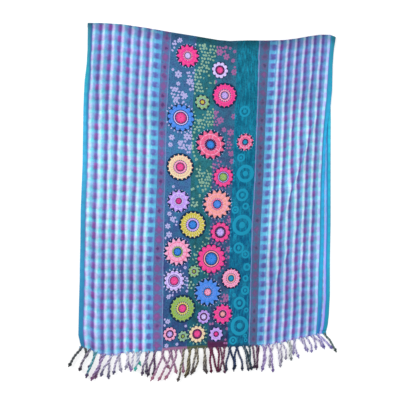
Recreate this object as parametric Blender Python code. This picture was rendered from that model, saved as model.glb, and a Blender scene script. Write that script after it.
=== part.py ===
# Woven stole, folded once across its length and lying flat, with twisted tassels.
# X runs to the right of the visible face, Y towards the fold, Z up from the surface it rests on.

import bmesh
import bpy
import math
import random
from mathutils import Vector

for old in list(bpy.data.objects):
    bpy.data.objects.remove(old, do_unlink=True)

MM = 0.001

# Driving sizes in millimetres
WALL = 1.5
UNDER_THICK = 1.8
LAYER_GAP = 0.5
FOLD_RADIUS = 2.6
FOLD_TUCK = 7.0
FOLD_RISE = 48.0
SEAM_GAP = 0.4
RIM_BULGE = 0.5
HEM_STRIP = 9.0
UNDER_INSET = 2.5

# Mesh steps
FRONT_ACROSS = 30
FRONT_ALONG = 34
ROLL_STEPS = 6
UNDER_ACROSS = 10
UNDER_ALONG = 24

# Tassels
FRONT_TASSELS = 36
BACK_TASSELS = 31
TASSEL_WIDE = 3.4
TASSEL_HIGH = 3.0
KNOT_WIDE = 5.0
TIP_WIDE = 2.6
TASSEL_SPACE = 7.6
FLOOR_CLEAR = 0.4
FRONT_LIFT = 4.2
TASSEL_SEED = 11

# The fold seen from above: x, y
FOLD_EDGE = (
    (-303, 436), (-263, 440), (-217, 442), (-155, 440), (-91, 436), (-26, 433),
    (41, 429), (75, 430), (127, 437), (180, 442), (234, 449), (271, 457),
    (308, 467), (346, 476), (377, 479), (394, 475),
)

# The visible hem: x, y
HEM_EDGE = (
    (-302, -372), (-289, -376), (-277, -381), (-265, -390), (-245, -395), (-218, -399),
    (-200, -394), (-180, -392), (-126, -394), (-68, -393), (-3, -392), (79, -393),
    (151, -394), (198, -394), (250, -389), (295, -381), (339, -375), (361, -372),
)

# The left side: y, x
LEFT_SIDE = (
    (-372, -302), (-343, -309), (-231, -309), (-119, -309), (-32, -310), (81, -308),
    (218, -309), (290, -308), (328, -305), (368, -302), (436, -303),
)

# The right side of the visible half: y, x
RIGHT_SIDE = (
    (-372, 361), (-332, 366), (-276, 367), (-134, 370), (36, 368), (150, 369),
    (222, 374), (265, 382), (322, 387), (391, 387), (437, 390), (475, 394),
)

# The right side of the hidden half, which peeks out: y, x
RIGHT_PEEK = (
    (-371, 383), (-347, 389), (-319, 392), (-262, 394), (-162, 392), (-63, 392),
    (123, 388), (240, 386), (290, 384), (391, 384), (475, 391),
)

# Soft swells of the visible half: centre x, centre y, half width, half length, turn, height
SWELLS = (
    (-205, 255, 85, 150, 0.2, 1.5),
    (40, 330, 150, 60, -0.1, 1.2),
    (255, 60, 62, 150, 0.4, 1.9),
    (-130, -215, 95, 110, -0.3, 1.3),
    (170, -285, 130, 70, 0.3, 1.4),
    (-255, -70, 60, 150, 0.0, 1.2),
    (35, -60, 120, 120, 0.4, 1.0),
    (330, 330, 55, 95, -0.3, 1.7),
)

# Creases in the right side panel: start x, start y, end x, end y, half width, height
CREASES = (
    (342, 255, 294, 138, 17, 1.9),
    (314, 170, 244, -6, 18, 2.1),
    (302, -34, 284, -82, 16, 1.2),
    (260, -130, 206, -246, 18, 1.8),
    (-262, 60, -236, -70, 20, 1.0),
    (-275, -330, -215, -388, 18, 1.6),
)

# Visible tassels, from left to right: root along the hem, lean to the right, reach down, bow
FRONT_LAY = (
    (0.00, -31, 46, -4),
    (0.03, -25, 53, -4),
    (0.06, -23, 64, -4),
    (0.10, -31, 64, -5),
    (0.13, -16, 46, -4),
    (0.17, -4, 42, 3),
    (0.22, -15, 47, -3),
    (0.27, -20, 66, -4),
    (0.32, -32, 74, 4),
    (0.37, -33, 78, 5),
    (0.42, -8, 80, -4),
    (0.46, -9, 66, 7),
    (0.50, 4, 64, -5),
    (0.54, -4, 62, 6),
    (0.59, -16, 64, -3),
    (0.63, -6, 60, -6),
    (0.66, 13, 71, 3),
    (0.70, 2, 66, -4),
    (0.74, -2, 68, 8),
    (0.77, 14, 74, 4),
    (0.81, 9, 62, 4),
    (0.84, 16, 44, 8),
    (0.88, 5, 57, -5),
    (0.91, 26, 34, 6),
    (0.94, 14, 42, 5),
    (0.97, 36, 38, 7),
    (1.00, 44, 41, 6),
)

# Hidden tassels, from left to right: root along the hem, lean to the right, reach down, bow
BACK_LAY = (
    (0.00, 4, 34, 3),
    (0.05, -20, 66, 5),
    (0.10, -8, 70, -4),
    (0.15, 14, 50, -4),
    (0.20, 12, 44, -5),
    (0.25, -6, 72, 6),
    (0.30, 16, 60, -6),
    (0.36, 14, 70, 5),
    (0.42, -14, 80, 5),
    (0.49, 16, 70, -4),
    (0.56, 18, 72, 6),
    (0.63, 22, 70, 6),
    (0.70, -8, 74, 4),
    (0.77, -10, 74, -5),
    (0.82, 12, 58, 5),
    (0.87, -8, 44, -3),
    (0.92, 18, 40, 6),
    (0.96, 26, 42, 6),
    (1.00, 36, 53, 6),
)


def along(table, at, column=1):
    """Reads a column of a table at a place in its first column, in straight steps."""
    if at <= table[0][0]:
        return table[0][column]
    for low, high in zip(table, table[1:]):
        if at <= high[0]:
            share = (at - low[0]) / (high[0] - low[0])
            return low[column] + share * (high[column] - low[column])
    return table[-1][column]


def soft(value):
    """A smooth step from 0 to 1."""
    value = min(max(value, 0.0), 1.0)
    return value * value * (3.0 - 2.0 * value)


def edge_point(u, v):
    """A place of the visible half in plan. u runs left to right, v from the hem to the fold."""
    low_x = HEM_EDGE[0][0] + u * (HEM_EDGE[-1][0] - HEM_EDGE[0][0])
    top_x = FOLD_EDGE[0][0] + u * (FOLD_EDGE[-1][0] - FOLD_EDGE[0][0])
    low_y = along(HEM_EDGE, low_x) + HEM_STRIP + SEAM_GAP
    top_y = along(FOLD_EDGE, top_x)
    y = low_y + v * (top_y - low_y)
    left = along(LEFT_SIDE, y)
    right = along(RIGHT_SIDE, y)
    straight = left + u * (right - left)
    return straight, y


def swell(x, y):
    """How far the visible half lifts off at a place: soft swells and creases."""
    lift = 0.0
    for cx, cy, wide, long, turn, high in SWELLS:
        dx, dy = x - cx, y - cy
        across = (dx * math.cos(turn) + dy * math.sin(turn)) / wide
        down = (dy * math.cos(turn) - dx * math.sin(turn)) / long
        lift += high * math.exp(-across * across - down * down)
    for ax, ay, bx, by, wide, high in CREASES:
        reach = Vector((bx - ax, by - ay))
        length = reach.length
        reach.normalize()
        place = Vector((x - ax, y - ay))
        run = place.dot(reach)
        side = place.x * reach.y - place.y * reach.x
        end = soft(run / 30.0 + 0.5) * soft((length - run) / 30.0 + 0.5)
        lift += high * end * math.exp(-((side / wide) ** 2))
    return lift


def front_mid(x, y, fold_y):
    """The height of the visible half's middle surface."""
    rest = UNDER_THICK + LAYER_GAP + WALL / 2
    top = WALL / 2 + 2 * FOLD_RADIUS
    near = soft((y - (fold_y - FOLD_RISE)) / (FOLD_RISE - FOLD_RADIUS - WALL / 2))
    return rest + (top - rest) * near + swell(x, y) * (1.0 - near)


def wall_solid(name, top, low, colour, rough):
    """A closed wall from two grids of rows, with a rim that bulges at its middle."""
    rows, columns = len(top), len(top[0])
    points, faces = [], []

    def grid(source):
        first = len(points)
        for row in source:
            points.extend(Vector(p) * MM for p in row)
        return first

    def at(first, r, c):
        return first + r * columns + c

    upper, lower = grid(top), grid(low)
    for r in range(rows - 1):
        for c in range(columns - 1):
            faces.append((at(upper, r, c), at(upper, r, c + 1),
                          at(upper, r + 1, c + 1), at(upper, r + 1, c)))
            faces.append((at(lower, r, c), at(lower, r + 1, c),
                          at(lower, r + 1, c + 1), at(lower, r, c + 1)))
    rim = [(0, c) for c in range(columns - 1)]
    rim += [(r, columns - 1) for r in range(rows - 1)]
    rim += [(rows - 1, c) for c in range(columns - 1, 0, -1)]
    rim += [(r, 0) for r in range(rows - 1, 0, -1)]
    ends = {(0, c) for c in range(columns)} | {(rows - 1, c) for c in range(columns)}
    middle = len(points)
    for r, c in rim:
        centre = (points[at(upper, r, c)] + points[at(lower, r, c)]) / 2
        if (r, c) not in ends:
            inner = 1 if c == 0 else columns - 2
            inward = (points[at(upper, r, inner)] + points[at(lower, r, inner)]) / 2
            out = centre - inward
            out.z = 0.0
            centre = centre + out.normalized() * RIM_BULGE * MM
        points.append(centre)
    count = len(rim)
    for i, (r, c) in enumerate(rim):
        nr, nc = rim[(i + 1) % count]
        here, after = middle + i, middle + (i + 1) % count
        faces.append((at(upper, r, c), here, after, at(upper, nr, nc)))
        faces.append((here, at(lower, r, c), at(lower, nr, nc), after))
    return make_object(name, points, faces, colour, rough)


def make_object(name, points, faces, colour, rough):
    mesh = bpy.data.meshes.new(name)
    mesh.from_pydata([tuple(p) for p in points], [], faces)
    shell = bmesh.new()
    shell.from_mesh(mesh)
    bmesh.ops.recalc_face_normals(shell, faces=shell.faces)
    shell.to_mesh(mesh)
    shell.free()
    mesh.update()
    made = bpy.data.objects.new(name, mesh)
    bpy.context.scene.collection.objects.link(made)
    cloth = bpy.data.materials.new(name + "_wool")
    cloth.use_nodes = True
    shader = cloth.node_tree.nodes["Principled BSDF"]
    shader.inputs["Base Color"].default_value = (*colour, 1.0)
    shader.inputs["Roughness"].default_value = rough
    shader.inputs["Metallic"].default_value = 0.0
    mesh.materials.append(cloth)
    for face in mesh.polygons:
        face.use_smooth = True
    return made


def front_layer():
    """The visible half: a thin wall that rolls over the fold and tucks in on the surface."""
    top, low = [], []
    for j in range(FRONT_ALONG + 1):
        upper, under = [], []
        for i in range(FRONT_ACROSS + 1):
            u = i / FRONT_ACROSS
            x, fold_y = edge_point(u, 1.0)
            start_y = edge_point(u, 0.0)[1]
            last_y = fold_y - FOLD_RADIUS - WALL / 2
            share = j / FRONT_ALONG
            y = start_y + share * (last_y - start_y)
            x = along(LEFT_SIDE, y)
            x += u * (along(RIGHT_SIDE, y) - x)
            z = front_mid(x, y, fold_y)
            upper.append((x, y, z + WALL / 2))
            under.append((x, y, z - WALL / 2))
        top.append(upper)
        low.append(under)
    for k in range(1, ROLL_STEPS + 2):
        upper, under = [], []
        for i in range(FRONT_ACROSS + 1):
            u = i / FRONT_ACROSS
            x, fold_y = edge_point(u, 1.0)
            centre_y = fold_y - FOLD_RADIUS - WALL / 2
            centre_z = FOLD_RADIUS + WALL / 2
            tuck = FOLD_TUCK if k > ROLL_STEPS else 0.0
            turn = math.pi / 2 - math.pi * min(k, ROLL_STEPS) / ROLL_STEPS
            for row, radius in ((upper, FOLD_RADIUS + WALL / 2), (under, FOLD_RADIUS - WALL / 2)):
                y = centre_y + radius * math.cos(turn) - tuck
                row.append((x, y, centre_z + radius * math.sin(turn)))
        top.append(upper)
        low.append(under)
    return wall_solid("front_layer", top, low, (0.27, 0.36, 0.58), 0.85)


def back_hem(x):
    """The hidden half's hem, a little short of the visible one and level with it at the right."""
    shown = along(HEM_EDGE, x)
    return shown + 5.0 * (1.0 - soft((x - 330.0) / 45.0))


def under_layer():
    """The hidden half: one solid, flat where it rests, seen only along the right side."""
    top, low = [], []
    left_x = HEM_EDGE[0][0] + UNDER_INSET
    right_x = RIGHT_PEEK[0][1]
    for j in range(UNDER_ALONG + 1):
        upper, under = [], []
        for i in range(UNDER_ACROSS + 1):
            u = i / UNDER_ACROSS
            hem_y = back_hem(left_x + u * (right_x - left_x)) + HEM_STRIP + SEAM_GAP
            fold_x = FOLD_EDGE[0][0] + u * (FOLD_EDGE[-1][0] - FOLD_EDGE[0][0])
            inside = 2 * FOLD_RADIUS + WALL + FOLD_TUCK
            fold_y = lowest_fold(fold_x) - inside
            y = hem_y + (j / UNDER_ALONG) * (fold_y - hem_y)
            left = along(LEFT_SIDE, y) + UNDER_INSET
            x = left + u * (along(RIGHT_PEEK, y) - left)
            upper.append((x, y, UNDER_THICK))
            under.append((x, y, 0.0))
        top.append(upper)
        low.append(under)
    return wall_solid("under_layer", top, low, (0.30, 0.48, 0.66), 0.85)


def lowest_fold(x):
    """The fold's lowest place near x, so that the hidden half stays clear of the tuck."""
    return min(along(FOLD_EDGE, x + step) for step in (-36, -24, -12, 0, 12, 24, 36))


def tassel_routes(lay, count, first_x, last_x, pitch_wave):
    """Each tassel's root and its places at five depths, kept apart from its neighbours."""
    rand = random.Random(TASSEL_SEED + count)
    routes = []
    for n in range(count):
        share = n / (count - 1)
        root = first_x + share * (last_x - first_x) + pitch_wave * math.sin(n * 2.3)
        lean = along(lay, share, 1) + rand.uniform(-4.0, 4.0)
        reach = along(lay, share, 2) + rand.uniform(-5.0, 5.0)
        bow = along(lay, share, 3)
        routes.append([root, lean, reach, bow])
    return routes


def across_at(path, y):
    """Where a tassel's path is, left to right, at a depth. Past its tip it goes straight down."""
    for high, low in zip(path, path[1:]):
        if low.y <= y <= high.y:
            return high.x + (low.x - high.x) * (high.y - y) / (high.y - low.y)
    return path[0].x if y > path[0].y else path[-1].x


def strip_and_tassels(name, columns_at, hem_of, mid_of, thick, routes, lifts, colour):
    """A narrow hem strip with every tassel drawn out of its lower face, as one closed solid."""
    half = TASSEL_WIDE / 2
    roots = [(r[0] - half, r[0] + half) for r in routes]
    stops = []
    for x in columns_at:
        if all(x < a - 1.6 or x > b + 1.6 for a, b in roots):
            stops.append(x)
    for a, b in roots:
        stops += [a, b]
    stops = sorted(stops)
    is_root = {round(a, 4): n for n, (a, b) in enumerate(roots)}
    points, faces = [], []
    for x in stops:
        hem_y = hem_of(x)
        for y in (hem_y, hem_y + HEM_STRIP):
            z = mid_of(x, y)
            points.append(Vector((x, y, z - thick / 2)))
            points.append(Vector((x, y, z + thick / 2)))

    def corner(i, back, up):
        return 4 * i + 2 * back + up

    last = len(stops) - 1
    faces.append((corner(0, 0, 0), corner(0, 0, 1), corner(0, 1, 1), corner(0, 1, 0)))
    faces.append((corner(last, 0, 0), corner(last, 1, 0), corner(last, 1, 1), corner(last, 0, 1)))
    before = None
    for i in range(last):
        j = i + 1
        faces.append((corner(i, 0, 1), corner(j, 0, 1), corner(j, 1, 1), corner(i, 1, 1)))
        faces.append((corner(i, 0, 0), corner(i, 1, 0), corner(j, 1, 0), corner(j, 0, 0)))
        faces.append((corner(i, 1, 0), corner(i, 1, 1), corner(j, 1, 1), corner(j, 1, 0)))
        n = is_root.get(round(stops[i], 4))
        if n is None:
            faces.append((corner(i, 0, 0), corner(j, 0, 0), corner(j, 0, 1), corner(i, 0, 1)))
            continue
        ring = [corner(i, 0, 0), corner(j, 0, 0), corner(j, 0, 1), corner(i, 0, 1)]
        root, lean, reach, bow = routes[n]
        start = Vector((root, hem_of(root), 0.0))
        depths = (4.0, 15.0, 0.45 * reach + 6.0, 0.74 * reach, reach - 6.5, reach - 3.5, reach)
        wides = (TASSEL_WIDE, TASSEL_WIDE, TASSEL_WIDE, TASSEL_WIDE, TASSEL_WIDE,
                 KNOT_WIDE, TIP_WIDE)
        path = []
        for depth in depths:
            part = depth / reach
            side = lean * part ** 1.25 + bow * math.sin(math.pi * part)
            path.append(Vector((start.x + side, start.y - depth, 0.0)))
        if before:
            for spot in path:
                spot.x = max(spot.x, across_at(before, spot.y) + TASSEL_SPACE)
        before = path
        for k, spot in enumerate(path):
            ahead = path[min(k + 1, len(path) - 1)] - (path[k - 1] if k else start)
            ahead.normalize()
            across = Vector((-ahead.y, ahead.x, 0.0)) * wides[k] / 2
            low, high = lifts(depths[k], mid_of(root, start.y))
            new = len(points)
            points.append(Vector((spot.x - across.x, spot.y - across.y, low)))
            points.append(Vector((spot.x + across.x, spot.y + across.y, low)))
            points.append(Vector((spot.x + across.x, spot.y + across.y, high)))
            points.append(Vector((spot.x - across.x, spot.y - across.y, high)))
            fresh = [new, new + 1, new + 2, new + 3]
            for m in range(4):
                q = (m + 1) % 4
                faces.append((ring[m], fresh[m], fresh[q], ring[q]))
            ring = fresh
        faces.append((ring[0], ring[1], ring[2], ring[3]))
    return make_object(name, [p * MM for p in points], faces, colour, 0.9)


def front_lift(depth, root_mid):
    """Low and high of a visible tassel: it climbs from the hem onto the hidden tassels."""
    rise = soft(depth / 13.0)
    low = root_mid - WALL / 2
    low += (FRONT_LIFT - low) * rise
    high = root_mid + WALL / 2
    high += (FRONT_LIFT + TASSEL_HIGH - high) * rise
    return low, high


def back_lift(depth, root_mid):
    """Low and high of a hidden tassel: it lies on the surface, just above it."""
    rise = soft((depth - 9.0) / 12.0)
    low = FLOOR_CLEAR * soft(depth / 4.0)
    high = UNDER_THICK + (FLOOR_CLEAR + TASSEL_HIGH - UNDER_THICK) * rise
    return low, high


def front_fringe():
    columns = []
    for i in range(FRONT_ACROSS + 1):
        u = i / FRONT_ACROSS
        y = edge_point(u, 0.0)[1]
        columns.append(along(LEFT_SIDE, y) * (1 - u) + along(RIGHT_SIDE, y) * u)
    routes = tassel_routes(FRONT_LAY, FRONT_TASSELS, columns[0] + 4.0, columns[-1] - 4.0, 1.6)

    def hem_of(x):
        return along(CUT_LINE, x) - HEM_STRIP - SEAM_GAP

    def mid_of(x, y):
        return front_mid(x, y, 1000.0)

    return strip_and_tassels("front_fringe", columns, hem_of, mid_of, WALL, routes,
                             front_lift, (0.22, 0.18, 0.30))


def back_fringe():
    columns = []
    left_x = HEM_EDGE[0][0] + UNDER_INSET
    right_x = RIGHT_PEEK[0][1]
    for i in range(UNDER_ACROSS + 1):
        columns.append(left_x + i / UNDER_ACROSS * (right_x - left_x))
    routes = tassel_routes(BACK_LAY, BACK_TASSELS, columns[0] + 9.0, columns[-1] - 6.0, 1.9)

    def hem_of(x):
        return along(BACK_CUT_LINE, x) - HEM_STRIP - SEAM_GAP

    def mid_of(x, y):
        return UNDER_THICK / 2

    return strip_and_tassels("back_fringe", columns, hem_of, mid_of, UNDER_THICK, routes,
                             back_lift, (0.16, 0.16, 0.26))


def cut_line(of, across, row_of):
    """The straight steps of a wall's lower edge, which its hem strip follows."""
    return tuple(row_of(of, i, across) for i in range(across + 1))


def front_cut(of, i, across):
    u = i / across
    y = of(u, 0.0)[1]
    left = along(LEFT_SIDE, y)
    return left + u * (along(RIGHT_SIDE, y) - left), y


def back_cut(of, i, across):
    left_x = HEM_EDGE[0][0] + UNDER_INSET
    guess = left_x + i / across * (RIGHT_PEEK[0][1] - left_x)
    y = of(guess) + HEM_STRIP + SEAM_GAP
    left = along(LEFT_SIDE, y) + UNDER_INSET
    return left + i / across * (along(RIGHT_PEEK, y) - left), y


CUT_LINE = cut_line(edge_point, FRONT_ACROSS, front_cut)
BACK_CUT_LINE = cut_line(back_hem, UNDER_ACROSS, back_cut)

built = [front_layer(), under_layer(), front_fringe(), back_fringe()]

# The origin goes to the middle of the footprint, on the surface
spots = [made.matrix_world @ v.co for made in built for v in made.data.vertices]
shift = Vector((
    -(min(p.x for p in spots) + max(p.x for p in spots)) / 2,
    -(min(p.y for p in spots) + max(p.y for p in spots)) / 2,
    -min(p.z for p in spots),
))
for made in built:
    for v in made.data.vertices:
        v.co += shift
    made.data.update()
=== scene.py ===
import math
import random

import bpy
import numpy as np
from mathutils import Matrix, Vector


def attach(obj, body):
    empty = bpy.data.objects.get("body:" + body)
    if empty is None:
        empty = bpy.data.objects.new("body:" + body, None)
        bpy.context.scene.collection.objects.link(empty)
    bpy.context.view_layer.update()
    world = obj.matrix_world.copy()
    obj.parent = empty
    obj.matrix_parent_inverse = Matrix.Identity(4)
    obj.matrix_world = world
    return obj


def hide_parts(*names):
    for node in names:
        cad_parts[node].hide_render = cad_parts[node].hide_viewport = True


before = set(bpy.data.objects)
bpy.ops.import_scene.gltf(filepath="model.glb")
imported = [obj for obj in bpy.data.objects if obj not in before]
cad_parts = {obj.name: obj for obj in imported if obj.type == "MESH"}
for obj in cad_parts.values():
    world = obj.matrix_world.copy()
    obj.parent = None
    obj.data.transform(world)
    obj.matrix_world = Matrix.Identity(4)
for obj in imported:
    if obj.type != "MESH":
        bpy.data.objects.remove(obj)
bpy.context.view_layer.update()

# Sizes in millimetres, in the plan that the solids are drawn in. SHIFT carries it to the frame
MM = 0.001
SHIFT = np.array([-42.1, -1.1, 0.0])
WALL = 1.5
UNDER_THICK = 1.8
LAYER_GAP = 0.5
FOLD_RADIUS = 2.6
FOLD_TUCK = 7.0
FOLD_RISE = 48.0
SEAM_GAP = 0.4
HEM_STRIP = 9.0
HEM_LEFT = -302.0
HEM_RIGHT = 361.0
UNDER_RIGHT = 383.0
UNDER_INSET = 2.5
HALF_LONG = 834.0
EDGE_ROUND = 0.35

# The weft rows between the hem and the fold: how many, how long, and where the first one begins
ROWS = 33.4
ROW_LONG = 25.0
ROW_START = 0.04

# The fold seen from above: x, y
FOLD_EDGE = np.array((
    (-303, 436), (-263, 440), (-217, 442), (-155, 440), (-91, 436), (-26, 433),
    (41, 429), (75, 430), (127, 437), (180, 442), (234, 449), (271, 457),
    (308, 467), (346, 476), (377, 479), (394, 475),
), float)

# The visible hem: x, y
HEM_EDGE = np.array((
    (-302, -372), (-289, -376), (-277, -381), (-265, -390), (-245, -395), (-218, -399),
    (-200, -394), (-180, -392), (-126, -394), (-68, -393), (-3, -392), (79, -393),
    (151, -394), (198, -394), (250, -389), (295, -381), (339, -375), (361, -372),
), float)

# The left side: y, x
LEFT_SIDE = np.array((
    (-372, -302), (-343, -309), (-231, -309), (-119, -309), (-32, -310), (81, -308),
    (218, -309), (290, -308), (328, -305), (368, -302), (436, -303),
), float)

# The right side of the visible half: y, x
RIGHT_SIDE = np.array((
    (-372, 361), (-332, 366), (-276, 367), (-134, 370), (36, 368), (150, 369),
    (222, 374), (265, 382), (322, 387), (391, 387), (437, 390), (475, 394),
), float)

# The right side of the hidden half: y, x
RIGHT_PEEK = np.array((
    (-371, 383), (-347, 389), (-319, 392), (-262, 394), (-162, 392), (-63, 392),
    (123, 388), (240, 386), (290, 384), (391, 384), (475, 391),
), float)

# Where chosen warp lines lie across the cloth at a height: y, then each line's x
WARP_NAMES = (-309.0, -292.0, -144.4, -109.5, -98.0, 149.0, 163.5, 200.0, 347.6, 369.0)
WARP_LINES = np.array((
    (-390, -305, -288, -143.0, -110.0, -94.0, 147.0, 161.0, 194, 345, 361),
    (-318, -309, -292, -144.5, -112.0, -95.0, 147.0, 161.5, 196, 349, 366.5),
    (-170, -309, -292, -147.0, -113.5, -96.5, 148.8, 162.4, 199, 349, 369),
    (-75, -309, -293, -146.0, -111.0, -97.0, 149.0, 164.3, 202, 350, 369),
    (60, -308, -292, -142.5, -107.5, -97.0, 154.5, 169.0, 206, 351, 368),
    (255, -308, -292, -144.0, -107.0, -96.0, 158.0, 173.0, 210, 359, 381),
    (400, -302, -288, -140.0, -101.5, -90.0, 159.0, 179.5, 216, 368, 388),
    (437, -303, -287, -139.0, -100.5, -89.0, 159.0, 181.0, 218, 371, 392),
), float)

# How far the weft rows wander up or down along a warp line, in rows: warp line, at the hem, at the fold
WEFT_WANDER = np.array((
    (-309, 0.48, 0.16), (-279, 0.38, 0.06), (-254, 0.19, -0.04), (-230, 0.01, 0.03), (-205, 0.11, 0.17),
    (-181, 0.31, 0.24), (-156, 0.39, 0.26), (-98, 0.38, 0.30), (168, 0.20, 0.38), (192, 0.19, 0.42),
    (218, 0.09, 0.36), (243, 0.01, 0.28), (268, 0.00, 0.24), (292, 0.01, 0.25), (317, 0.04, 0.27),
    (342, 0.15, 0.36), (369, 0.20, 0.40),
), float)

# Soft swells of the visible half: centre x, centre y, half width, half length, turn, height
SWELLS = (
    (-205, 255, 85, 150, 0.2, 1.5),
    (40, 330, 150, 60, -0.1, 1.2),
    (255, 60, 62, 150, 0.4, 1.9),
    (-130, -215, 95, 110, -0.3, 1.3),
    (170, -285, 130, 70, 0.3, 1.4),
    (-255, -70, 60, 150, 0.0, 1.2),
    (35, -60, 120, 120, 0.4, 1.0),
    (330, 330, 55, 95, -0.3, 1.7),
)

# Creases that the solid has too: start x, start y, end x, end y, half width, height
CREASES = (
    (342, 255, 294, 138, 17, 1.9),
    (314, 170, 244, -6, 18, 2.1),
    (302, -34, 284, -82, 16, 1.2),
    (260, -130, 206, -246, 18, 1.8),
    (-262, 60, -236, -70, 20, 1.0),
    (-275, -330, -215, -388, 18, 1.6),
)

# Finer creases and troughs: start x, start y, end x, end y, half width, height
FINE_CREASES = (
    (338, 250, 301, 144, 8, 1.3),
    (273, 232, 262, 200, 6, 0.8),
    (274, 80, 256, 8, 7, 1.2),
    (313, 168, 266, 34, 8, 1.5),
    (268, 40, 240, -40, 7, 0.9),
    (300, -36, 284, -84, 7, 1.0),
    (258, -133, 208, -242, 8, 1.3),
    (300, -150, 286, -215, 7, 0.8),
    (352, -60, 330, -190, 9, -0.8),
    (326, 372, 306, 300, 9, 1.0),
    (236, 330, 222, 262, 8, 0.7),
    (-296, 350, -281, 262, 9, 0.9),
    (-240, 398, -214, 330, 10, 0.8),
    (-290, -190, -262, -300, 9, 0.8),
    (-252, 60, -238, -40, 10, 0.6),
    (-180, 120, -160, 10, 12, 0.5),
    (-206, -250, -176, -330, 9, 0.7),
    (-60, -330, 60, -350, 10, 0.6),
    (96, 400, 190, 380, 10, 0.8),
    (-60, 398, 30, 386, 9, 0.5),
)

# Visible tassels, from left to right: root along the hem, lean to the right, reach down, bow
FRONT_LAY = np.array((
    (0.00, -31, 46, -4), (0.03, -25, 53, -4), (0.06, -23, 64, -4), (0.10, -31, 64, -5),
    (0.13, -16, 46, -4), (0.17, -4, 42, 3), (0.22, -15, 47, -3), (0.27, -20, 66, -4),
    (0.32, -32, 74, 4), (0.37, -33, 78, 5), (0.42, -8, 80, -4), (0.46, -9, 66, 7),
    (0.50, 4, 64, -5), (0.54, -4, 62, 6), (0.59, -16, 64, -3), (0.63, -6, 60, -6),
    (0.66, 13, 71, 3), (0.70, 2, 66, -4), (0.74, -2, 68, 8), (0.77, 14, 74, 4),
    (0.81, 9, 62, 4), (0.84, 16, 44, 8), (0.88, 5, 57, -5), (0.91, 26, 34, 6),
    (0.94, 14, 42, 5), (0.97, 36, 38, 7), (1.00, 44, 41, 6),
), float)

# Hidden tassels, from left to right: root along the hem, lean to the right, reach down, bow
BACK_LAY = np.array((
    (0.00, 4, 34, 3), (0.05, -20, 66, 5), (0.10, -8, 70, -4), (0.15, 14, 50, -4),
    (0.20, 12, 44, -5), (0.25, -6, 72, 6), (0.30, 16, 60, -6), (0.36, 14, 70, 5),
    (0.42, -14, 80, 5), (0.49, 16, 70, -4), (0.56, 18, 72, 6), (0.63, 22, 70, 6),
    (0.70, -8, 74, 4), (0.77, -10, 74, -5), (0.82, 12, 58, 5), (0.87, -8, 44, -3),
    (0.92, 18, 40, 6), (0.96, 26, 42, 6), (1.00, 36, 53, 6),
), float)
FRONT_TASSELS = 36
BACK_TASSELS = 31
TASSEL_SPACE = 7.6
TASSEL_SEED = 11
TASSEL_HIGH = 3.0

# The height that a tassel's middle comes to rest at, and how far below the hem it gets there
FRONT_REST, FRONT_CLIMB = 4.5 + TASSEL_HIGH / 2, 13.0
BACK_REST, BACK_CLIMB = 0.65 + TASSEL_HIGH / 2, 12.0


def read(table, at, column=1):
    """A table's column, read between its rows."""
    return np.interp(at, table[:, 0], table[:, column])


def soft(value):
    """0 up to 0, 1 from 1 on, and smooth between."""
    value = np.clip(value, 0.0, 1.0)
    return value * value * (3.0 - 2.0 * value)


def join(*parts):
    """Coordinates side by side. A single number goes with every place."""
    return np.stack(np.broadcast_arrays(*parts), -1)


def around(s, q, reach, turn):
    """The place at a distance and an angle from another."""
    return s + math.cos(turn) * reach, q + math.sin(turn) * reach


def unit(vectors):
    return vectors / (np.linalg.norm(vectors, axis=1)[:, None] + 1e-9)


def left_of(ahead):
    """Directions on the plan, turned a quarter to the left."""
    return join(-ahead[:, 1], ahead[:, 0])


def beside(x, y, crease, end_long):
    """A crease's direction, how far places lie to its side, and 1 between its soft ends."""
    ax, ay, bx, by = crease[:4]
    length = math.hypot(bx - ax, by - ay)
    dx, dy = (bx - ax) / length, (by - ay) / length
    run = (x - ax) * dx + (y - ay) * dy
    side = (x - ax) * dy - (y - ay) * dx
    end = soft(run / end_long + 0.5) * soft((length - run) / end_long + 0.5)
    return dx, dy, side, end


def ridge(x, y, table):
    """Creases: a soft ridge or trough along each row of a table."""
    lift = np.zeros_like(x)
    for crease in table:
        wide, high = crease[4:]
        _, _, side, end = beside(x, y, crease, 30.0)
        lift = lift + high * end * np.exp(-((side / wide) ** 2))
    return lift


def swell(x, y):
    """The soft swells and main creases that the solid has too."""
    lift = ridge(x, y, CREASES)
    for cx, cy, wide, long, turn, high in SWELLS:
        dx, dy = x - cx, y - cy
        across = (dx * math.cos(turn) + dy * math.sin(turn)) / wide
        down = (dy * math.cos(turn) - dx * math.sin(turn)) / long
        lift = lift + high * np.exp(-across * across - down * down)
    return lift


def front_mid(x, y):
    """The height of the visible half's middle surface, as in the solid."""
    rest = UNDER_THICK + LAYER_GAP + WALL / 2
    top = WALL / 2 + 2 * FOLD_RADIUS
    near = soft((y - (read(FOLD_EDGE, x) - FOLD_RISE)) / (FOLD_RISE - FOLD_RADIUS - WALL / 2))
    return rest + (top - rest) * near + swell(x, y) * (1.0 - near)


def small_waves(x, y):
    """Small unevenness of soft cloth that has been handled."""
    waves = 0.22 * np.sin(x / 23.0 + 1.7 * np.sin(y / 61.0)) * np.sin(y / 34.0 + 1.3 * np.sin(x / 47.0))
    waves = waves + 0.16 * np.sin(x / 11.0 + y / 29.0 + 2.0 * np.sin(y / 43.0))
    return waves


def front_top(x, y):
    """The height of the visible face as it is seen."""
    near = soft((read(FOLD_EDGE, x) - 12.0 - y) / 30.0)
    hem = soft((y - read(HEM_EDGE, x)) / 25.0)
    fine = ridge(x, y, FINE_CREASES) + small_waves(x, y)
    return front_mid(x, y) + WALL / 2 + fine * near * (0.35 + 0.65 * hem)


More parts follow.
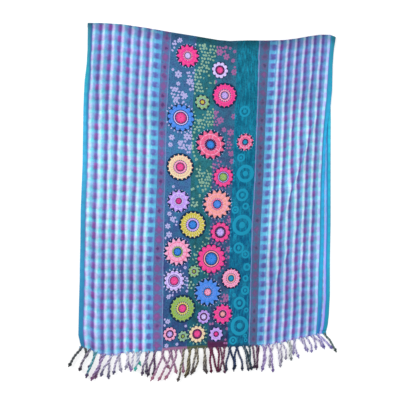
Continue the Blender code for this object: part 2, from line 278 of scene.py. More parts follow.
def warp_x(s, y):
    """Where a warp line, named by its place across the cloth, lies at a height."""
    s, y = np.broadcast_arrays(np.asarray(s, float), np.asarray(y, float))
    lines = [read(WARP_LINES, y, 1 + n) for n in range(len(WARP_NAMES))]
    lines[0] = read(LEFT_SIDE, y)
    lines[-1] = read(RIGHT_SIDE, y)
    x = np.zeros(s.shape)
    for n in range(len(WARP_NAMES) - 1):
        low, high = WARP_NAMES[n], WARP_NAMES[n + 1]
        share = (s - low) / (high - low)
        inside = (s >= low) & (s <= high)
        x = np.where(inside, lines[n] + share * (lines[n + 1] - lines[n]), x)
    return x


def pinch(x, y):
    """Threads draw together at a crease, so the stripes bend where they cross it."""
    for crease in FINE_CREASES:
        wide, high = crease[4:]
        dx, dy, side, end = beside(x, y, crease, 40.0)
        away = side / (1.6 * wide)
        move = -3.4 * high * end * away * np.exp(-away * away)
        x = x + move * dy
        y = y - move * dx
    return x, y


def plan(s, v):
    """Cloth coordinates to plan: s names the warp line, v runs from the hem to the fold."""
    s, v = np.broadcast_arrays(np.asarray(s, float), np.asarray(v, float))
    x = s.copy()
    for _ in range(6):
        low = read(HEM_EDGE, x)
        y = low + v * (read(FOLD_EDGE, x) - low)
        x = warp_x(s, y)
    return pinch(x, y)


def weft_row(s, v):
    return ROWS * v + ROW_START + (1.0 - v) * read(WEFT_WANDER, s, 1) + v * read(WEFT_WANDER, s, 2)


def cloth_uv(s, row):
    """The cloth's own map in metres, from warp lines and weft rows."""
    return join(s * MM, row * ROW_LONG * MM)


def to_frame(points):
    return (points + SHIFT) * MM


def mesh_object(name, points, faces, uv, materials, slots=None):
    """A smooth object from points in the plan, faces of four corners, and the cloth's map."""
    mesh = bpy.data.meshes.new(name)
    mesh.vertices.add(len(points))
    mesh.vertices.foreach_set("co", to_frame(points).astype(np.float32).ravel())
    mesh.loops.add(faces.size)
    mesh.loops.foreach_set("vertex_index", faces.astype(np.int32).ravel())
    mesh.polygons.add(len(faces))
    mesh.polygons.foreach_set("loop_start", np.arange(0, faces.size, 4, dtype=np.int32))
    mesh.update(calc_edges=True)
    layer = mesh.uv_layers.new(name="cloth")
    layer.data.foreach_set("uv", uv.astype(np.float32)[faces.ravel()].ravel())
    if slots is not None:
        mesh.polygons.foreach_set("material_index", slots.astype(np.int32))
    mesh.polygons.foreach_set("use_smooth", np.full(len(faces), True))
    mesh.update()
    made = bpy.data.objects.new(name, mesh)
    bpy.context.scene.collection.objects.link(made)
    for material in materials:
        mesh.materials.append(material)
    return made


def grid_faces(rows, columns, first=0, flip=False):
    """Faces between rows of points."""
    r, c = np.meshgrid(np.arange(rows - 1), np.arange(columns - 1), indexing="ij")
    a = (first + r * columns + c).ravel()
    order = (a, a + 1, a + columns + 1, a + columns)
    return np.stack(order[::-1] if flip else order, 1)


def ring_faces(rings, sides):
    """Faces between closed rings of points."""
    r, c = np.meshgrid(np.arange(rings - 1), np.arange(sides), indexing="ij")
    a = (r * sides + c).ravel()
    b = (r * sides + (c + 1) % sides).ravel()
    return np.stack([a, b, b + sides, a + sides], 1)


def rgb(code):
    """A colour from its six hex digits, made linear."""
    parts = [int(code[i:i + 2], 16) / 255.0 for i in (0, 2, 4)]
    return tuple(p / 12.92 if p <= 0.04045 else ((p + 0.055) / 1.055) ** 2.4 for p in parts) + (1.0,)


class Number:
    """A number that material nodes work out. It adds, subtracts and multiplies like any other."""

    def __init__(self, graph, socket):
        self.graph = graph
        self.socket = socket

    def __add__(self, other):
        return self.graph.math("ADD", self, other)

    def __sub__(self, other):
        return self.graph.math("SUBTRACT", self, other)

    def __rsub__(self, other):
        return self.graph.math("SUBTRACT", other, self)

    def __mul__(self, other):
        return self.graph.math("MULTIPLY", self, other)

    def __abs__(self):
        return self.graph.math("ABSOLUTE", self)

    def whole(self):
        return self.graph.math("FLOOR", self)

    def part(self):
        return self.graph.math("FRACT", self)

    def turned(self, kind):
        """The sine or cosine, with one wave for each whole number."""
        return self.graph.math(kind, self * (2.0 * math.pi))

    def fit(self, low, high, to_low, to_high, kind="LINEAR"):
        """Carries the range from low to high onto another range, and goes no further."""
        made = self.graph.node("MapRange", self, low, high, to_low, to_high, interpolation_type=kind)
        return Number(self.graph, made.outputs["Result"])

    def step(self, low, high):
        """0 under low, 1 over high, smooth between."""
        return self.fit(low, high, 0.0, 1.0, "SMOOTHSTEP")

    def band(self, low, high, edge):
        """1 between low and high, with soft edges."""
        return self.step(low - edge, low + edge) - self.step(high - edge, high + edge)

    def bands(self, zones):
        """1 inside either of two zones."""
        first, second = zones
        return self.band(*first) + self.band(*second)


class Graph:
    """Short names for building a material's nodes."""

    def __init__(self, name):
        self.material = bpy.data.materials.new(name)
        self.material.use_nodes = True
        self.tree = self.material.node_tree
        self.shader = self.tree.nodes["Principled BSDF"]

    def put(self, socket, value):
        """Links an input to a number or colour, or sets it. A colour may be its six hex digits."""
        if isinstance(value, Number):
            value = value.socket
        if isinstance(value, bpy.types.NodeSocket):
            self.tree.links.new(value, socket)
        else:
            socket.default_value = rgb(value) if isinstance(value, str) else value

    def node(self, kind, *inputs, **settings):
        """A new node with its settings, and its first inputs in their order."""
        made = self.tree.nodes.new("ShaderNode" + kind)
        for name, value in settings.items():
            setattr(made, name, value)
        for socket, value in zip(made.inputs, inputs):
            self.put(socket, value)
        return made

    def math(self, kind, *values):
        return Number(self, self.node("Math", *values, operation=kind).outputs[0])

    def mix(self, share, a, b, kind="MIX"):
        made = self.node("Mix", share, data_type="RGBA", blend_type=kind)
        self.put(made.inputs[6], a)
        self.put(made.inputs[7], b)
        return made.outputs[2]

    def lay(self, colour, layers):
        """Lays other colours over one in their order, each by its own share."""
        for share, over in layers:
            colour = self.mix(share, colour, over)
        return colour

    def ramp(self, value, stops, kind="LINEAR"):
        made = self.node("ValToRGB", value)
        made.color_ramp.interpolation = kind
        elements = made.color_ramp.elements
        while len(elements) > 1:
            elements.remove(elements[-1])
        elements[0].position = stops[0][0]
        elements[0].color = rgb(stops[0][1])
        for place, code in stops[1:]:
            elements.new(place).color = rgb(code)
        return made.outputs[0]

    def vector(self, x, y, z=0.0):
        return self.node("CombineXYZ", x, y, z).outputs[0]

    def noise(self, vector, scale, detail=2.0, rough=0.5):
        made = self.node("TexNoise", vector)
        made.inputs["Scale"].default_value = scale
        made.inputs["Detail"].default_value = detail
        made.inputs["Roughness"].default_value = rough
        return Number(self, made.outputs["Fac"])

    def chance(self, x, y, z):
        """A random number for each cell."""
        made = self.node("TexWhiteNoise", self.vector(x, y, z), noise_dimensions="3D")
        return Number(self, made.outputs["Value"])

    def cloth_map(self):
        """Across in millimetres, along in metres, and the map itself."""
        uv = self.node("UVMap", uv_map="cloth").outputs[0]
        split = self.node("SeparateXYZ", uv)
        return Number(self, split.outputs[0]) * 1000.0, Number(self, split.outputs[1]), uv

    def object_place(self):
        return self.node("TexCoord").outputs["Object"]

    def bump(self, height, strength, distance):
        made = self.node("Bump")
        made.inputs["Strength"].default_value = strength
        made.inputs["Distance"].default_value = distance
        self.put(made.inputs["Height"], height)
        self.put(self.shader.inputs["Normal"], made.outputs[0])

    def wool(self, colour, rough, sheen):
        self.put(self.shader.inputs["Base Color"], colour)
        self.shader.inputs["Roughness"].default_value = rough
        self.shader.inputs["Specular IOR Level"].default_value = 0.08
        self.shader.inputs["Sheen Weight"].default_value = sheen
        self.shader.inputs["Sheen Roughness"].default_value = 0.45
        self.shader.inputs["Sheen Tint"].default_value = (0.9, 0.93, 1.0, 1.0)


# Warp stripes of the side panels, over one repeat from a light stripe: at magenta and blue rows
FIRST_STRIPE = -293.3
STRIPE_WIDE = 24.6
STRIPE_MAGENTA = (
    (0.00, "d0b8f6"), (0.12, "b8c4f4"), (0.30, "84a8de"), (0.44, "8698d2"),
    (0.58, "8266b6"), (0.72, "744c9c"), (0.84, "846cb6"), (0.93, "b8a4e4"), (1.00, "d0b8f6"),
)
STRIPE_BLUE = (
    (0.00, "a8d4f0"), (0.12, "98dcf4"), (0.28, "6cc6e6"), (0.42, "6cb0da"),
    (0.56, "668ac6"), (0.70, "4a6aa8"), (0.82, "6284bc"), (0.92, "94bae0"), (1.00, "a8d4f0"),
)

# Zones across the cloth: first warp line, last warp line, softness of their edges
BLUE_COLUMNS = ((-138.0, -118.5, 1.6), (173.0, 195.0, 1.6))
DOT_COLUMNS = ((-135.0, -126.5, 3.5), (181.5, 192.0, 3.5))
LIGHT_LINES = ((-139.0, -134.0, 1.6), (190.0, 195.0, 1.6))
BORDERS = ((-119.5, -98.5, 0.9), (150.5, 174.0, 0.9))
LOZENGE_LINES = (-109.5, 163.0)
LOZENGE_HALF = 9.6
CENTRE_PANEL = (-98.0, 149.5, 0.5)

# The centre panel's ground columns: the warp line each begins at, and its colours from hem to fold
GROUNDS = (
    (-98.0, ((0.0, "303c70"), (0.35, "3e4e88"), (0.60, "4870a4"), (1.0, "406290"))),
    (-29.0, ((0.0, "1e4452"), (0.40, "245a5e"), (0.65, "2c6c6c"), (1.0, "26606a"))),
    (28.0, ((0.0, "302e58"), (0.40, "3c4270"), (0.65, "40567e"), (1.0, "305870"))),
    (86.0, ((0.0, "084c76"), (0.40, "065c84"), (0.80, "086480"), (1.0, "0c5a6e"))),
)

# Colours across the centre panel: the last picks at the hem, and the woven figures
HEM_COLOURS = (
    (0.0, "94608c"), (0.01, "a46c94"), (0.27, "9a6488"), (0.275, "56603c"), (0.49, "4c5438"),
    (0.495, "5a2048"), (0.71, "501c40"), (0.715, "14506c"), (0.985, "184a68"), (1.0, "5a3054"),
)
FIGURE_COLOURS = (
    (0.0, "b8b2e4"), (0.279, "b4aee0"), (0.281, "94b8a0"), (0.509, "88ac90"),
    (0.511, "a8649c"), (0.744, "a06094"), (0.746, "1896b8"), (1.0, "1490b0"),
)

# Plain bands at the sides, and the last light stripe on the right, from the hem to the fold
LEFT_BAND = (
    (0.0, "2c7298"), (0.10, "3084ac"), (0.50, "3ca0c8"), (0.72, "40b0d8"), (0.85, "2e9eb2"), (1.0, "3c7c90"),
)
FRONT_EDGE = (
    (0.0, "2c6cbc"), (0.06, "2c80c8"), (0.14, "2a9cc8"), (0.35, "2ca8d8"), (0.62, "34b4ec"),
    (0.85, "2a9cbc"), (1.0, "2c889c"),
)
FRONT_LAST = ((0.0, "a0ccf8"), (0.5, "a8e4fc"), (0.85, "b0dcfc"), (1.0, "98c4e8"))
UNDER_EDGE = ((0.0, "2494aa"), (0.15, "249cb4"), (0.48, "2cb4d0"), (0.64, "34c8e6"), (1.0, "2c98ac"))
# The hidden half's last light stripe is toned lavender-blue in place of near-white: painted shade from the
# visible half's edge over it
UNDER_LAST = ((0.0, "a49cf4"), (0.30, "a0acf8"), (0.46, "78bcfc"), (0.75, "4cc4fc"), (1.0, "5ca8cc"))

# Pitch of the weave's threads
WARP_PITCH = 1.5
WEFT_PITCH = 1.6

# Yarns of the fringe from the left side to the right: where each begins, dark ply, light ply, tip
FRINGE = (
    (-320, "40464a", "54585a", "2c3232"),
    (-294, "5a5462", "8c8496", "302c32"),
    (-277, "3c8088", "5c9aa6", "4a3c5c"),
    (-266, "7c6690", "a48ab8", "6c4068"),
    (-240, "8c86a0", "b8b0cc", "504e6a"),
    (-209, "b0acc0", "d4d0e0", "8a869c"),
    (-186, "aca8bc", "d8d4e4", "805c9c"),
    (-164, "9ca4bc", "c4ccdc", "2cac9c"),
    (-148, "6c6078", "9c90ac", "44384c"),
    (-127, "50384f", "74587c", "2c2230"),
    (-98, "8c6482", "b08aa8", "9c6078"),
    (-38, "5c5642", "8c8468", "463e2c"),
    (31, "5c1c3c", "742c4c", "50142c"),
    (82, "20304c", "34446a", "121e34"),
    (122, "183a46", "2c545c", "0c2228"),
    (150, "48223a", "6c4464", "341428"),
    (186, "8a76a8", "b0a0cc", "6c5890"),
    (219, "a8a2b8", "d0ccdc", "8e8a9c"),
    (250, "989e9e", "c4caca", "666c72"),
    (280, "9890b4", "c0bada", "8076ac"),
    (342, "9c92cc", "b8aee4", "685ea4"),
    (375, "4c5e5c", "6c807e", "243a30"),
)
YARN_START, YARN_SPAN = -320.0, 720.0
DARK_PLY, LIGHT_PLY, TIP = 1, 2, 3


class Weave(Graph):
    """The woven cloth. s names the warp line, t counts the weft rows from the hem."""

    def __init__(self, name):
        super().__init__(name)
        self.even_s, along, self.uv = self.cloth_map()
        self.even_t = along * (1000.0 / ROW_LONG)
        self.s = self.even_s + (self.noise(self.uv, 28.0) - 0.5) * 3.4
        self.t = self.even_t + (self.noise(self.uv, 41.0) - 0.5) * 0.18
        self.rise = self.even_t * (1.0 / ROWS)
        self.drift = self.noise(self.vector(self.even_s * 0.002, self.even_t * 0.06), 3.0)
        self.height = self.rise + (self.drift - 0.5) * 0.10
        self.on_right = self.s.step(150.0, 151.0)
        # The right panel mirrors the left one
        self.stripe = (self.s - FIRST_STRIPE) * (1.0 / STRIPE_WIDE)
        self.p = (self.stripe * (1.0 - self.on_right * 2.0) + self.on_right * 0.12).part()
        self.row = self.t.part()
        self.from_row = abs(self.row - 0.5)
        self.magenta = self.from_row.step(0.11, 0.29)
        late_t = self.t - self.p.band(0.16, 0.44, 0.05) * 0.13
        self.late = abs(late_t.part() - 0.5).step(0.10, 0.30)


def side_panels(w):
    """Warp stripes crossed by magenta and blue rows, with each crossing a little different."""
    luck = w.chance((w.stripe - 0.2).whole(), (w.t + 0.5).whole(), 3.0)
    cool = w.chance(w.stripe.whole(), w.t.whole(), 9.0)
    purple = w.p.band(0.50, 0.84, 0.08)
    dot = purple * w.magenta
    aqua = w.p.band(0.12, 0.42, 0.07) * (1.0 - w.magenta) * cool.step(0.35, 1.0)
    from_light = abs((w.p + 0.47).part() - 0.5)
    core = (1.0 - from_light.step(0.05, 0.17)) * cool.step(0.1, 0.9) * (1.0 - w.magenta * 0.75)
    colour = w.mix(w.late * (luck * 0.22 + 0.78), w.ramp(w.p, STRIPE_BLUE), w.ramp(w.p, STRIPE_MAGENTA))
    return w.lay(colour, (
        (dot * luck.step(0.50, 0.95) * 0.42, "9c44a0"),
        (dot * (1.0 - luck.step(0.05, 0.40)) * 0.35, "5c50a0"),
        # Painted shade: a darker blue band below each purple dot, towards the hem
        (purple * w.row.band(0.62, 0.74, 0.06) * 0.35, "405498"),
        (aqua * (1.0 - w.on_right * 0.5) * 0.45, "54dae2"),
        (core * (0.36 - w.on_right * 0.16), "dcf4ff"),
        (w.on_right * w.p.band(0.20, 0.56, 0.08) * 0.34, "6486cc"),
        (w.on_right * purple * 0.22, "5a50a8"),
        (w.on_right * (1.0 - from_light.step(0.06, 0.14)) * 0.14, "d4e0ff"),
        (w.rise.step(0.70, 0.95) * w.p.band(0.14, 0.52, 0.08) * 0.34, "5c84c4"),
    ))


def yarn_tone(w):
    """Each row of the weft shades from light to dark, and hand-dyed wool is uneven."""
    depth = w.p.band(0.28, 0.85, 0.12) * 0.06 + 0.06
    shade = 0.88 - w.on_right * 0.02 + (w.t - 0.33).turned("COSINE") * depth
    shade = shade * w.noise(w.uv, 85.0, 3.0, 0.6).fit(0.3, 0.7, 0.84, 1.16)
    middle = w.rise.band(0.30, 0.78, 0.16)
    return w.vector(*(shade * (middle * gain + 1.0) for gain in (0.05, 0.20, 0.04)))


def blue_columns(w, tone):
    """Dotted blue columns beside the borders, each with a faint light line."""
    loose = w.s + (w.noise(w.uv, 90.0) - 0.5) * 16.0
    dots = loose.bands(DOT_COLUMNS) * w.late
    light = w.s.bands(LIGHT_LINES) * (1.0 - w.magenta)
    colour = w.mix(w.magenta, "5caad8", "6490ce")
    colour = w.lay(colour, ((dots * 0.80, "6054a6"), (light * 0.6, "84c4ec")))
    return w.mix(0.8, colour, tone, "MULTIPLY")


def lozenge_borders(w):
    """A line of rounded lozenges on a dark ground. Some have a bright heart, some a dark one."""
    left, right = LOZENGE_LINES
    far = w.math("MINIMUM", abs(w.s - left), abs(w.s - right))
    wide_part = w.math("POWER", far * (1.0 / LOZENGE_HALF), 1.4)
    tall_part = w.math("POWER", (0.5 - w.from_row) * 2.0, 1.4)
    diamond = wide_part + tall_part + (w.noise(w.uv, 120.0) - 0.5) * 1.3
    luck = w.chance((w.t + 0.5).whole(), w.on_right, 7.0)
    ground = w.mix(w.noise(w.uv, 170.0).fit(0.3, 0.7, 0.0, 1.0), "4c7ca8", "5c5c94")
    return w.lay(ground, (
        ((1.0 - diamond.step(0.55, 1.05)) * (luck * 0.3 + 0.7), "76528c"),
        ((1.0 - diamond.step(0.05, 0.50)) * luck.step(0.35, 0.9) * 0.85, "925098"),
        ((1.0 - diamond.step(0.10, 0.45)) * (1.0 - luck.step(0.3, 0.6)) * 0.75, "4c2c64"),
        (w.on_right * 0.34, "1c4e4e"),
    ))


def centre_grounds(w):
    """The four ground columns of the centre panel, darker towards the hem and brushed along the warp."""
    ground = w.ramp(w.height, GROUNDS[0][1])
    for start, stops in GROUNDS[1:]:
        in_column = w.s.step(start - 1.0, start + 1.0)
        ground = w.mix(in_column, ground, w.ramp(w.height, stops))
    streak = w.noise(w.vector(w.even_s * 0.055, w.even_t * 0.9), 1.0, 3.0, 0.6)
    fleck = w.noise(w.vector(w.even_s * 0.10, w.even_t * 2.0), 3.0, 2.0, 0.6)
    brushed = w.noise(w.vector(w.even_s * 0.06, w.even_t * 0.32), 3.0, 3.0, 0.6)
    return w.lay(ground, (
        (streak.fit(0.40, 0.75, 0.0, 0.55), "2890ac"),
        (fleck.fit(0.46, 0.75, 0.0, 0.75), "0c2a50"),
        (in_column * brushed.fit(0.48, 0.66, 0.0, 0.55), "1098b8"),
    ))


def selvedges(w, colour, right_band, last_light, row_share, line):
    """Plain bands at both sides. The right one follows a last light stripe and a dark line."""
    rib = w.t.turned("SINE").step(-0.2, 0.9) * 0.22
    last_colour = w.mix(w.magenta * row_share, w.ramp(w.height, last_light), "b4a4f4")
    inner_line = w.s.band(-302.0, -296.5, 1.2) * (w.rise.step(0.50, 0.75) * 0.35 + 0.20)
    return w.lay(colour, (
        (w.s.band(346.5, 353.5, 1.2) * 0.9, last_colour),
        (w.s.step(353.5, 355.5), line),
        (1.0 - w.s.step(-299.5, -296.5), w.mix(rib, w.ramp(w.height, LEFT_BAND), "3a70a8")),
        (inner_line, "2a5a98"),
        (w.s.step(358.0, 360.5), w.mix(rib, w.ramp(w.height, right_band), "3a78b0")),
    ))


def last_picks(w, colour):
    """The last weft picks at the hem let the warp's own colours through."""
    from_hem = w.t + w.s.fit(-98.0, 168.0, -0.42, -0.24)
    thin = 1.0 - from_hem.step(0.16, 0.40)
    thick = w.s.band(28.0, 86.0, 1.0) * (1.0 - from_hem.step(0.45, 0.95))
    hem = w.math("MAXIMUM", thin, thick) * w.s.band(-98.0, 150.0, 1.0)
    return w.mix(hem * 0.85, colour, w.ramp(w.s.fit(-100.0, 160.0, 0.0, 1.0), HEM_COLOURS))


def plain_weave(w):
    """The relief of a plain weave, and 1 where the warp is on top: the threads take turns."""
    warp = w.even_s * (1.0 / WARP_PITCH)
    weft = w.even_t * (ROW_LONG / WEFT_PITCH)
    turn = abs(w.math("MODULO", (warp * 2.0).whole() + (weft * 2.0).whole(), 2.0))
    return abs(warp.turned("SINE")) * turn + abs(weft.turned("SINE")) * (1.0 - turn), turn


def check_wool(name, right_band, last_light, row_share, line):
    """The whole cloth: checked panels, borders, centre panel, selvedges and hem."""
    w = Weave(name)
    tone = yarn_tone(w)
    pale_line = w.s.band(-99.5, -97.3, 0.6) * 0.6 + w.s.band(148.4, 151.2, 0.6)
    colour = w.lay(w.mix(1.0, side_panels(w), tone, "MULTIPLY"), (
        (w.s.bands(BLUE_COLUMNS), blue_columns(w, tone)),
        (w.s.bands(BORDERS), lozenge_borders(w)),
        (w.s.band(*CENTRE_PANEL), centre_grounds(w)),
        (pale_line * 0.8, w.mix(w.magenta, "6c94bc", "7c78b4")),
    ))
    colour = last_picks(w, selvedges(w, colour, right_band, last_light, row_share, line))
    relief, warp_on_top = plain_weave(w)
    colour = w.mix(0.10, colour, w.mix(warp_on_top, "20304a", "ffffff"), "SOFT_LIGHT")
    # Slow lighter and darker streaks along the warp, times painted shade that darkens the cloth just below
    # the fold
    streaks_and_fold_shade = w.drift.fit(0.3, 0.7, 0.88, 1.12) * (1.0 - w.rise.step(0.978, 1.0) * 0.35)
    w.wool(w.mix(1.0, colour, w.vector(streaks_and_fold_shade, streaks_and_fold_shade, streaks_and_fold_shade), "MULTIPLY"), 0.9, 0.06)
    w.bump(relief, 0.35, 0.00018)
    return w.material


def yarn_stops(column):
    """Where each yarn of the fringe begins, and one column of its colours."""
    return [((row[0] - YARN_START) / YARN_SPAN, row[column]) for row in FRINGE]


def tassel_wool(name, column, tint, tint_share):
    """Twisted yarn. Its colour follows the stripes above it, and changes towards its tip."""
    g = Graph(name)
    across, along, _ = g.cloth_map()
    place = across.fit(YARN_START, YARN_START + YARN_SPAN, 0.0, 1.0)
    own = g.chance((across * 0.9).whole(), 2.0, 5.0)
    tip_share = (along + (own - 0.5) * 0.3).step(0.60, 0.90)
    body = g.ramp(place, yarn_stops(column), "CONSTANT")
    spot = g.object_place()
    g.wool(g.lay(body, (
        (tip_share, g.ramp(place, yarn_stops(TIP), "CONSTANT")),
        (own * tint_share, tint),
        (g.noise(spot, 420.0).fit(0.42, 0.75, 0.0, 0.30), "2c2638"),
    )), 0.92, 0.08)
    g.bump(g.noise(spot, 1500.0), 0.3, 0.0002)
    return g.material


def thread(name, code):
    """Embroidery yarn with uneven dye."""
    g = Graph(name)
    dark = tuple(c * 0.72 for c in rgb(code)[:3]) + (1.0,)
    dye = g.noise(g.object_place(), 220.0)
    g.wool(g.mix(dye.fit(0.3, 0.7, 0.0, 0.45), code, dark), 0.62, 0.05)
    return g.material


def brocade(name):
    """Woven figures of the centre panel, in the warp colour of the column they lie in."""
    g = Graph(name)
    s, along, _ = g.cloth_map()
    grain = g.noise(g.vector(s * 1.4, along * 800.0), 1.0)
    colour = g.ramp(s.fit(-98.0, 149.0, 0.0, 1.0), FIGURE_COLOURS)
    g.wool(g.mix(grain.fit(0.40, 0.75, 0.0, 0.45), colour, "2a4a70"), 0.9, 0.05)
    return g.material


# The visible half: its warp lines, its steps from the hem strip to the fold, and those of the roll
ACROSS = np.unique(np.concatenate([np.arange(-309.0, 369.1, 3.0), WARP_NAMES]))
ALONG = np.linspace(0.0, 1.0, 268)
ROLL_STEPS = 10
TUCK_STEPS = 2

# How its side edges turn down and in again: out from the edge, deep below the face
EDGE_TURNS = ((EDGE_ROUND, EDGE_ROUND), (EDGE_ROUND, WALL - EDGE_ROUND), (-0.2, WALL), (-4.0, WALL))


def roll_turn(k):
    """The angle of a step of the roll, which ends straight down."""
    return math.pi / 2 - math.pi * min(k, ROLL_STEPS) / ROLL_STEPS


def front_face():
    """Points and map of the visible face, over the fold and tucked under it."""
    rows, maps = [], []
    first = HEM_STRIP / HALF_LONG
    outer = FOLD_RADIUS + WALL / 2
    for v in first + ALONG * (1.0 - first):
        x, y = plan(ACROSS, v)
        y = np.minimum(y, read(FOLD_EDGE, x) - FOLD_RADIUS - WALL / 2)
        rows.append(join(x, y, front_top(x, y)))
        maps.append(cloth_uv(ACROSS, weft_row(ACROSS, v)))
    fold_x, fold_y = plan(ACROSS, 1.0)
    centre_y = fold_y - FOLD_RADIUS - WALL / 2
    for k in range(1, ROLL_STEPS + TUCK_STEPS + 1):
        turn = roll_turn(k)
        tuck = FOLD_TUCK * max(k - ROLL_STEPS, 0) / TUCK_STEPS
        more = (outer * math.pi * min(k, ROLL_STEPS) / ROLL_STEPS + tuck) / ROW_LONG
        y = centre_y + outer * math.cos(turn) - tuck
        rows.append(join(fold_x, y, outer + outer * math.sin(turn) + 0.05))
        maps.append(cloth_uv(ACROSS, weft_row(ACROSS, 1.0) + more))
    return np.array(rows), np.array(maps)


def front_shell(material):
    """A thin shell on the solid's form, with turned edges, that rolls over the fold."""
    xyz, uv = front_face()
    down = np.tile((0.0, 0.0, -1.0), (len(xyz), 1))
    for k in range(1, ROLL_STEPS + TUCK_STEPS + 1):
        turn = roll_turn(k)
        down[len(ALONG) + k - 1] = (0.0, -math.cos(turn), -math.sin(turn))
    left, right = (
        [xyz[:, side] + down * deep + (sign * out, 0.0, 0.0) for out, deep in EDGE_TURNS]
        for side, sign in ((0, -1.0), (-1, 1.0))
    )
    xyz = np.concatenate([np.stack(left[::-1], 1), xyz, np.stack(right, 1)], 1)
    uv = np.pad(uv, ((0, 0), (len(EDGE_TURNS), len(EDGE_TURNS)), (0, 0)), "edge")
    faces = grid_faces(*xyz.shape[:2])
    return mesh_object("stole_front_cloth", xyz.reshape(-1, 3), faces, uv.reshape(-1, 2), [material])


def under_x(share, y):
    """Where the hidden half lies, a share of the way across it."""
    left = read(LEFT_SIDE, y) + UNDER_INSET
    return left + share * (read(RIGHT_PEEK, y) - left)


def under_warp(x, y):
    """The warp line of a place on the hidden half."""
    return np.interp(read(RIGHT_PEEK, y) - x, (0.0, 18.5, 700.0), (369.0, 347.6, -309.0))


def front_warp(x, y):
    """The warp line of a place at the visible hem."""
    lines = [read(WARP_LINES, y, 1 + n) for n in range(len(WARP_NAMES))]
    return np.interp(x, lines, WARP_NAMES)


def back_hem(x):
    return read(HEM_EDGE, x) + 5.0 * (1.0 - soft((x - 330.0) / 45.0))


def back_hem_at(share):
    """The hidden hem, a share of the way across it."""
    left = HEM_LEFT + UNDER_INSET
    return back_hem(left + share * (UNDER_RIGHT - left))


def under_shell(material):
    """The hidden half: a closed slab with a rounded rim, flat where it rests."""
    share = np.unique(np.concatenate([np.linspace(0.0, 0.93, 60), np.linspace(0.93, 1.0, 24)]))
    step = np.linspace(0.0, 1.0, 150)[:, None]
    fold_x = -303.0 + share * 697.0
    lowest = np.min([read(FOLD_EDGE, fold_x + reach) for reach in np.linspace(-36.0, 36.0, 7)], axis=0)
    top_y = lowest - (2 * FOLD_RADIUS + WALL + FOLD_TUCK)
    low_y = back_hem_at(share) + HEM_STRIP - 0.6
    y = low_y + step * (top_y - low_y)
    x = under_x(share, y)
    uv = cloth_uv(under_warp(x, y), ROWS * (0.01 + 0.98 * step)).reshape(-1, 2)
    upper, lower = (join(x, y, z).reshape(-1, 3) for z in (UNDER_THICK, 0.05))

    # The rim goes once round, half way up, and stands out a little at both sides
    rows, columns = x.shape
    count = rows * columns
    number = np.arange(count).reshape(rows, columns)
    rim = np.concatenate([number[0, :-1], number[:-1, -1], number[-1, :0:-1], number[:0:-1, 0]])
    middle = (upper[rim] + lower[rim]) / 2
    middle[rim % columns == 0, 0] -= 0.5
    middle[rim % columns == columns - 1, 0] += 0.5
    here, following = 2 * count + np.arange(len(rim)), np.roll(rim, -1)
    after = np.roll(here, -1)
    faces = np.concatenate([
        grid_faces(rows, columns),
        grid_faces(rows, columns, count, flip=True),
        np.stack([rim, here, after, following], 1),
        np.stack([here, rim + count, following + count, after], 1),
    ])
    points = np.concatenate([upper, lower, middle])
    return mesh_object("stole_under_cloth", points, faces, np.concatenate([uv, uv, uv[rim]]), [material])


# Slots of the tassels' two plies and of the cloth they hang from
DARK_SLOT, LIGHT_SLOT, CLOTH_SLOT = 0, 1, 2


def front_cut():
    """The visible half's edge above its hem strip."""
    share = np.linspace(0.0, 1.0, 31)
    y = read(HEM_EDGE, HEM_LEFT + share * (HEM_RIGHT - HEM_LEFT)) + HEM_STRIP + SEAM_GAP
    left = read(LEFT_SIDE, y)
    return join(left + share * (read(RIGHT_SIDE, y) - left), y)


def back_cut():
    """The hidden half's edge above its hem strip."""
    share = np.linspace(0.0, 1.0, 11)
    y = back_hem_at(share) + HEM_STRIP + SEAM_GAP
    return join(under_x(share, y), y)


def across_at(path, y):
    """Where a tassel's path is, left to right, at a depth. Past its tip it goes straight down."""
    for high, low in zip(path, path[1:]):
        if low[1] <= y <= high[1]:
            return high[0] + (low[0] - high[0]) * (high[1] - y) / (high[1] - low[1])
    return path[0][0] if y > path[0][1] else path[-1][0]


def tassel_routes(lay, count, cut, left_in, right_in, wave):
    """Each tassel's root, its length, and spots at depths below the hem, as in the solids."""
    rand = random.Random(TASSEL_SEED + count)
    first_x, last_x = cut[0, 0] + left_in, cut[-1, 0] - right_in
    routes, before = [], None
    for n in range(count):
        share = n / (count - 1)
        root = first_x + share * (last_x - first_x) + wave * math.sin(n * 2.3)
        lean = float(read(lay, share, 1)) + rand.uniform(-4.0, 4.0)
        reach = float(read(lay, share, 2)) + rand.uniform(-5.0, 5.0)
        bow = float(read(lay, share, 3))
        start_y = float(read(cut, root)) - HEM_STRIP - SEAM_GAP
        depths = (4.0, 15.0, 0.45 * reach + 6.0, 0.74 * reach, reach - 6.5, reach - 3.5, reach)
        path = []
        for depth in depths:
            part = depth / reach
            side = lean * part ** 1.25 + bow * math.sin(math.pi * part)
            path.append([root + side, start_y - depth])
        if before:
            for spot in path:
                spot[0] = max(spot[0], across_at(before, spot[1]) + TASSEL_SPACE)
        before = path
        routes.append((root, start_y, reach, depths, path))
    return routes


def tube(points, radii, sides, across, along, squash=1.0):
    """A closed tube with an even number of sides round a line of points: points, faces and a map."""
    ahead = unit(np.gradient(points, axis=0))
    side = unit(np.cross(ahead, (0.0, 0.0, 1.0)))
    top = np.cross(side, ahead) * squash
    angle = (np.arange(sides) * 2 * math.pi / sides)[None, :, None]
    ring = side[:, None] * np.cos(angle) + top[:, None] * np.sin(angle)
    xyz = points[:, None] + ring * np.asarray(radii)[:, None, None]
    uv = np.empty((len(points), sides, 2))
    uv[..., 0] = across
    uv[..., 1] = np.reshape(along, (-1, 1))
    last = (len(points) - 1) * sides
    faces = [ring_faces(len(points), sides)]
    for k in range(0, sides - 2, 2):
        faces.append(np.array([(0, k + 3, k + 2, k + 1), (last, last + k + 1, last + k + 2, last + k + 3)]))
    return xyz.reshape(-1, 3), np.concatenate(faces), uv.reshape(-1, 2)


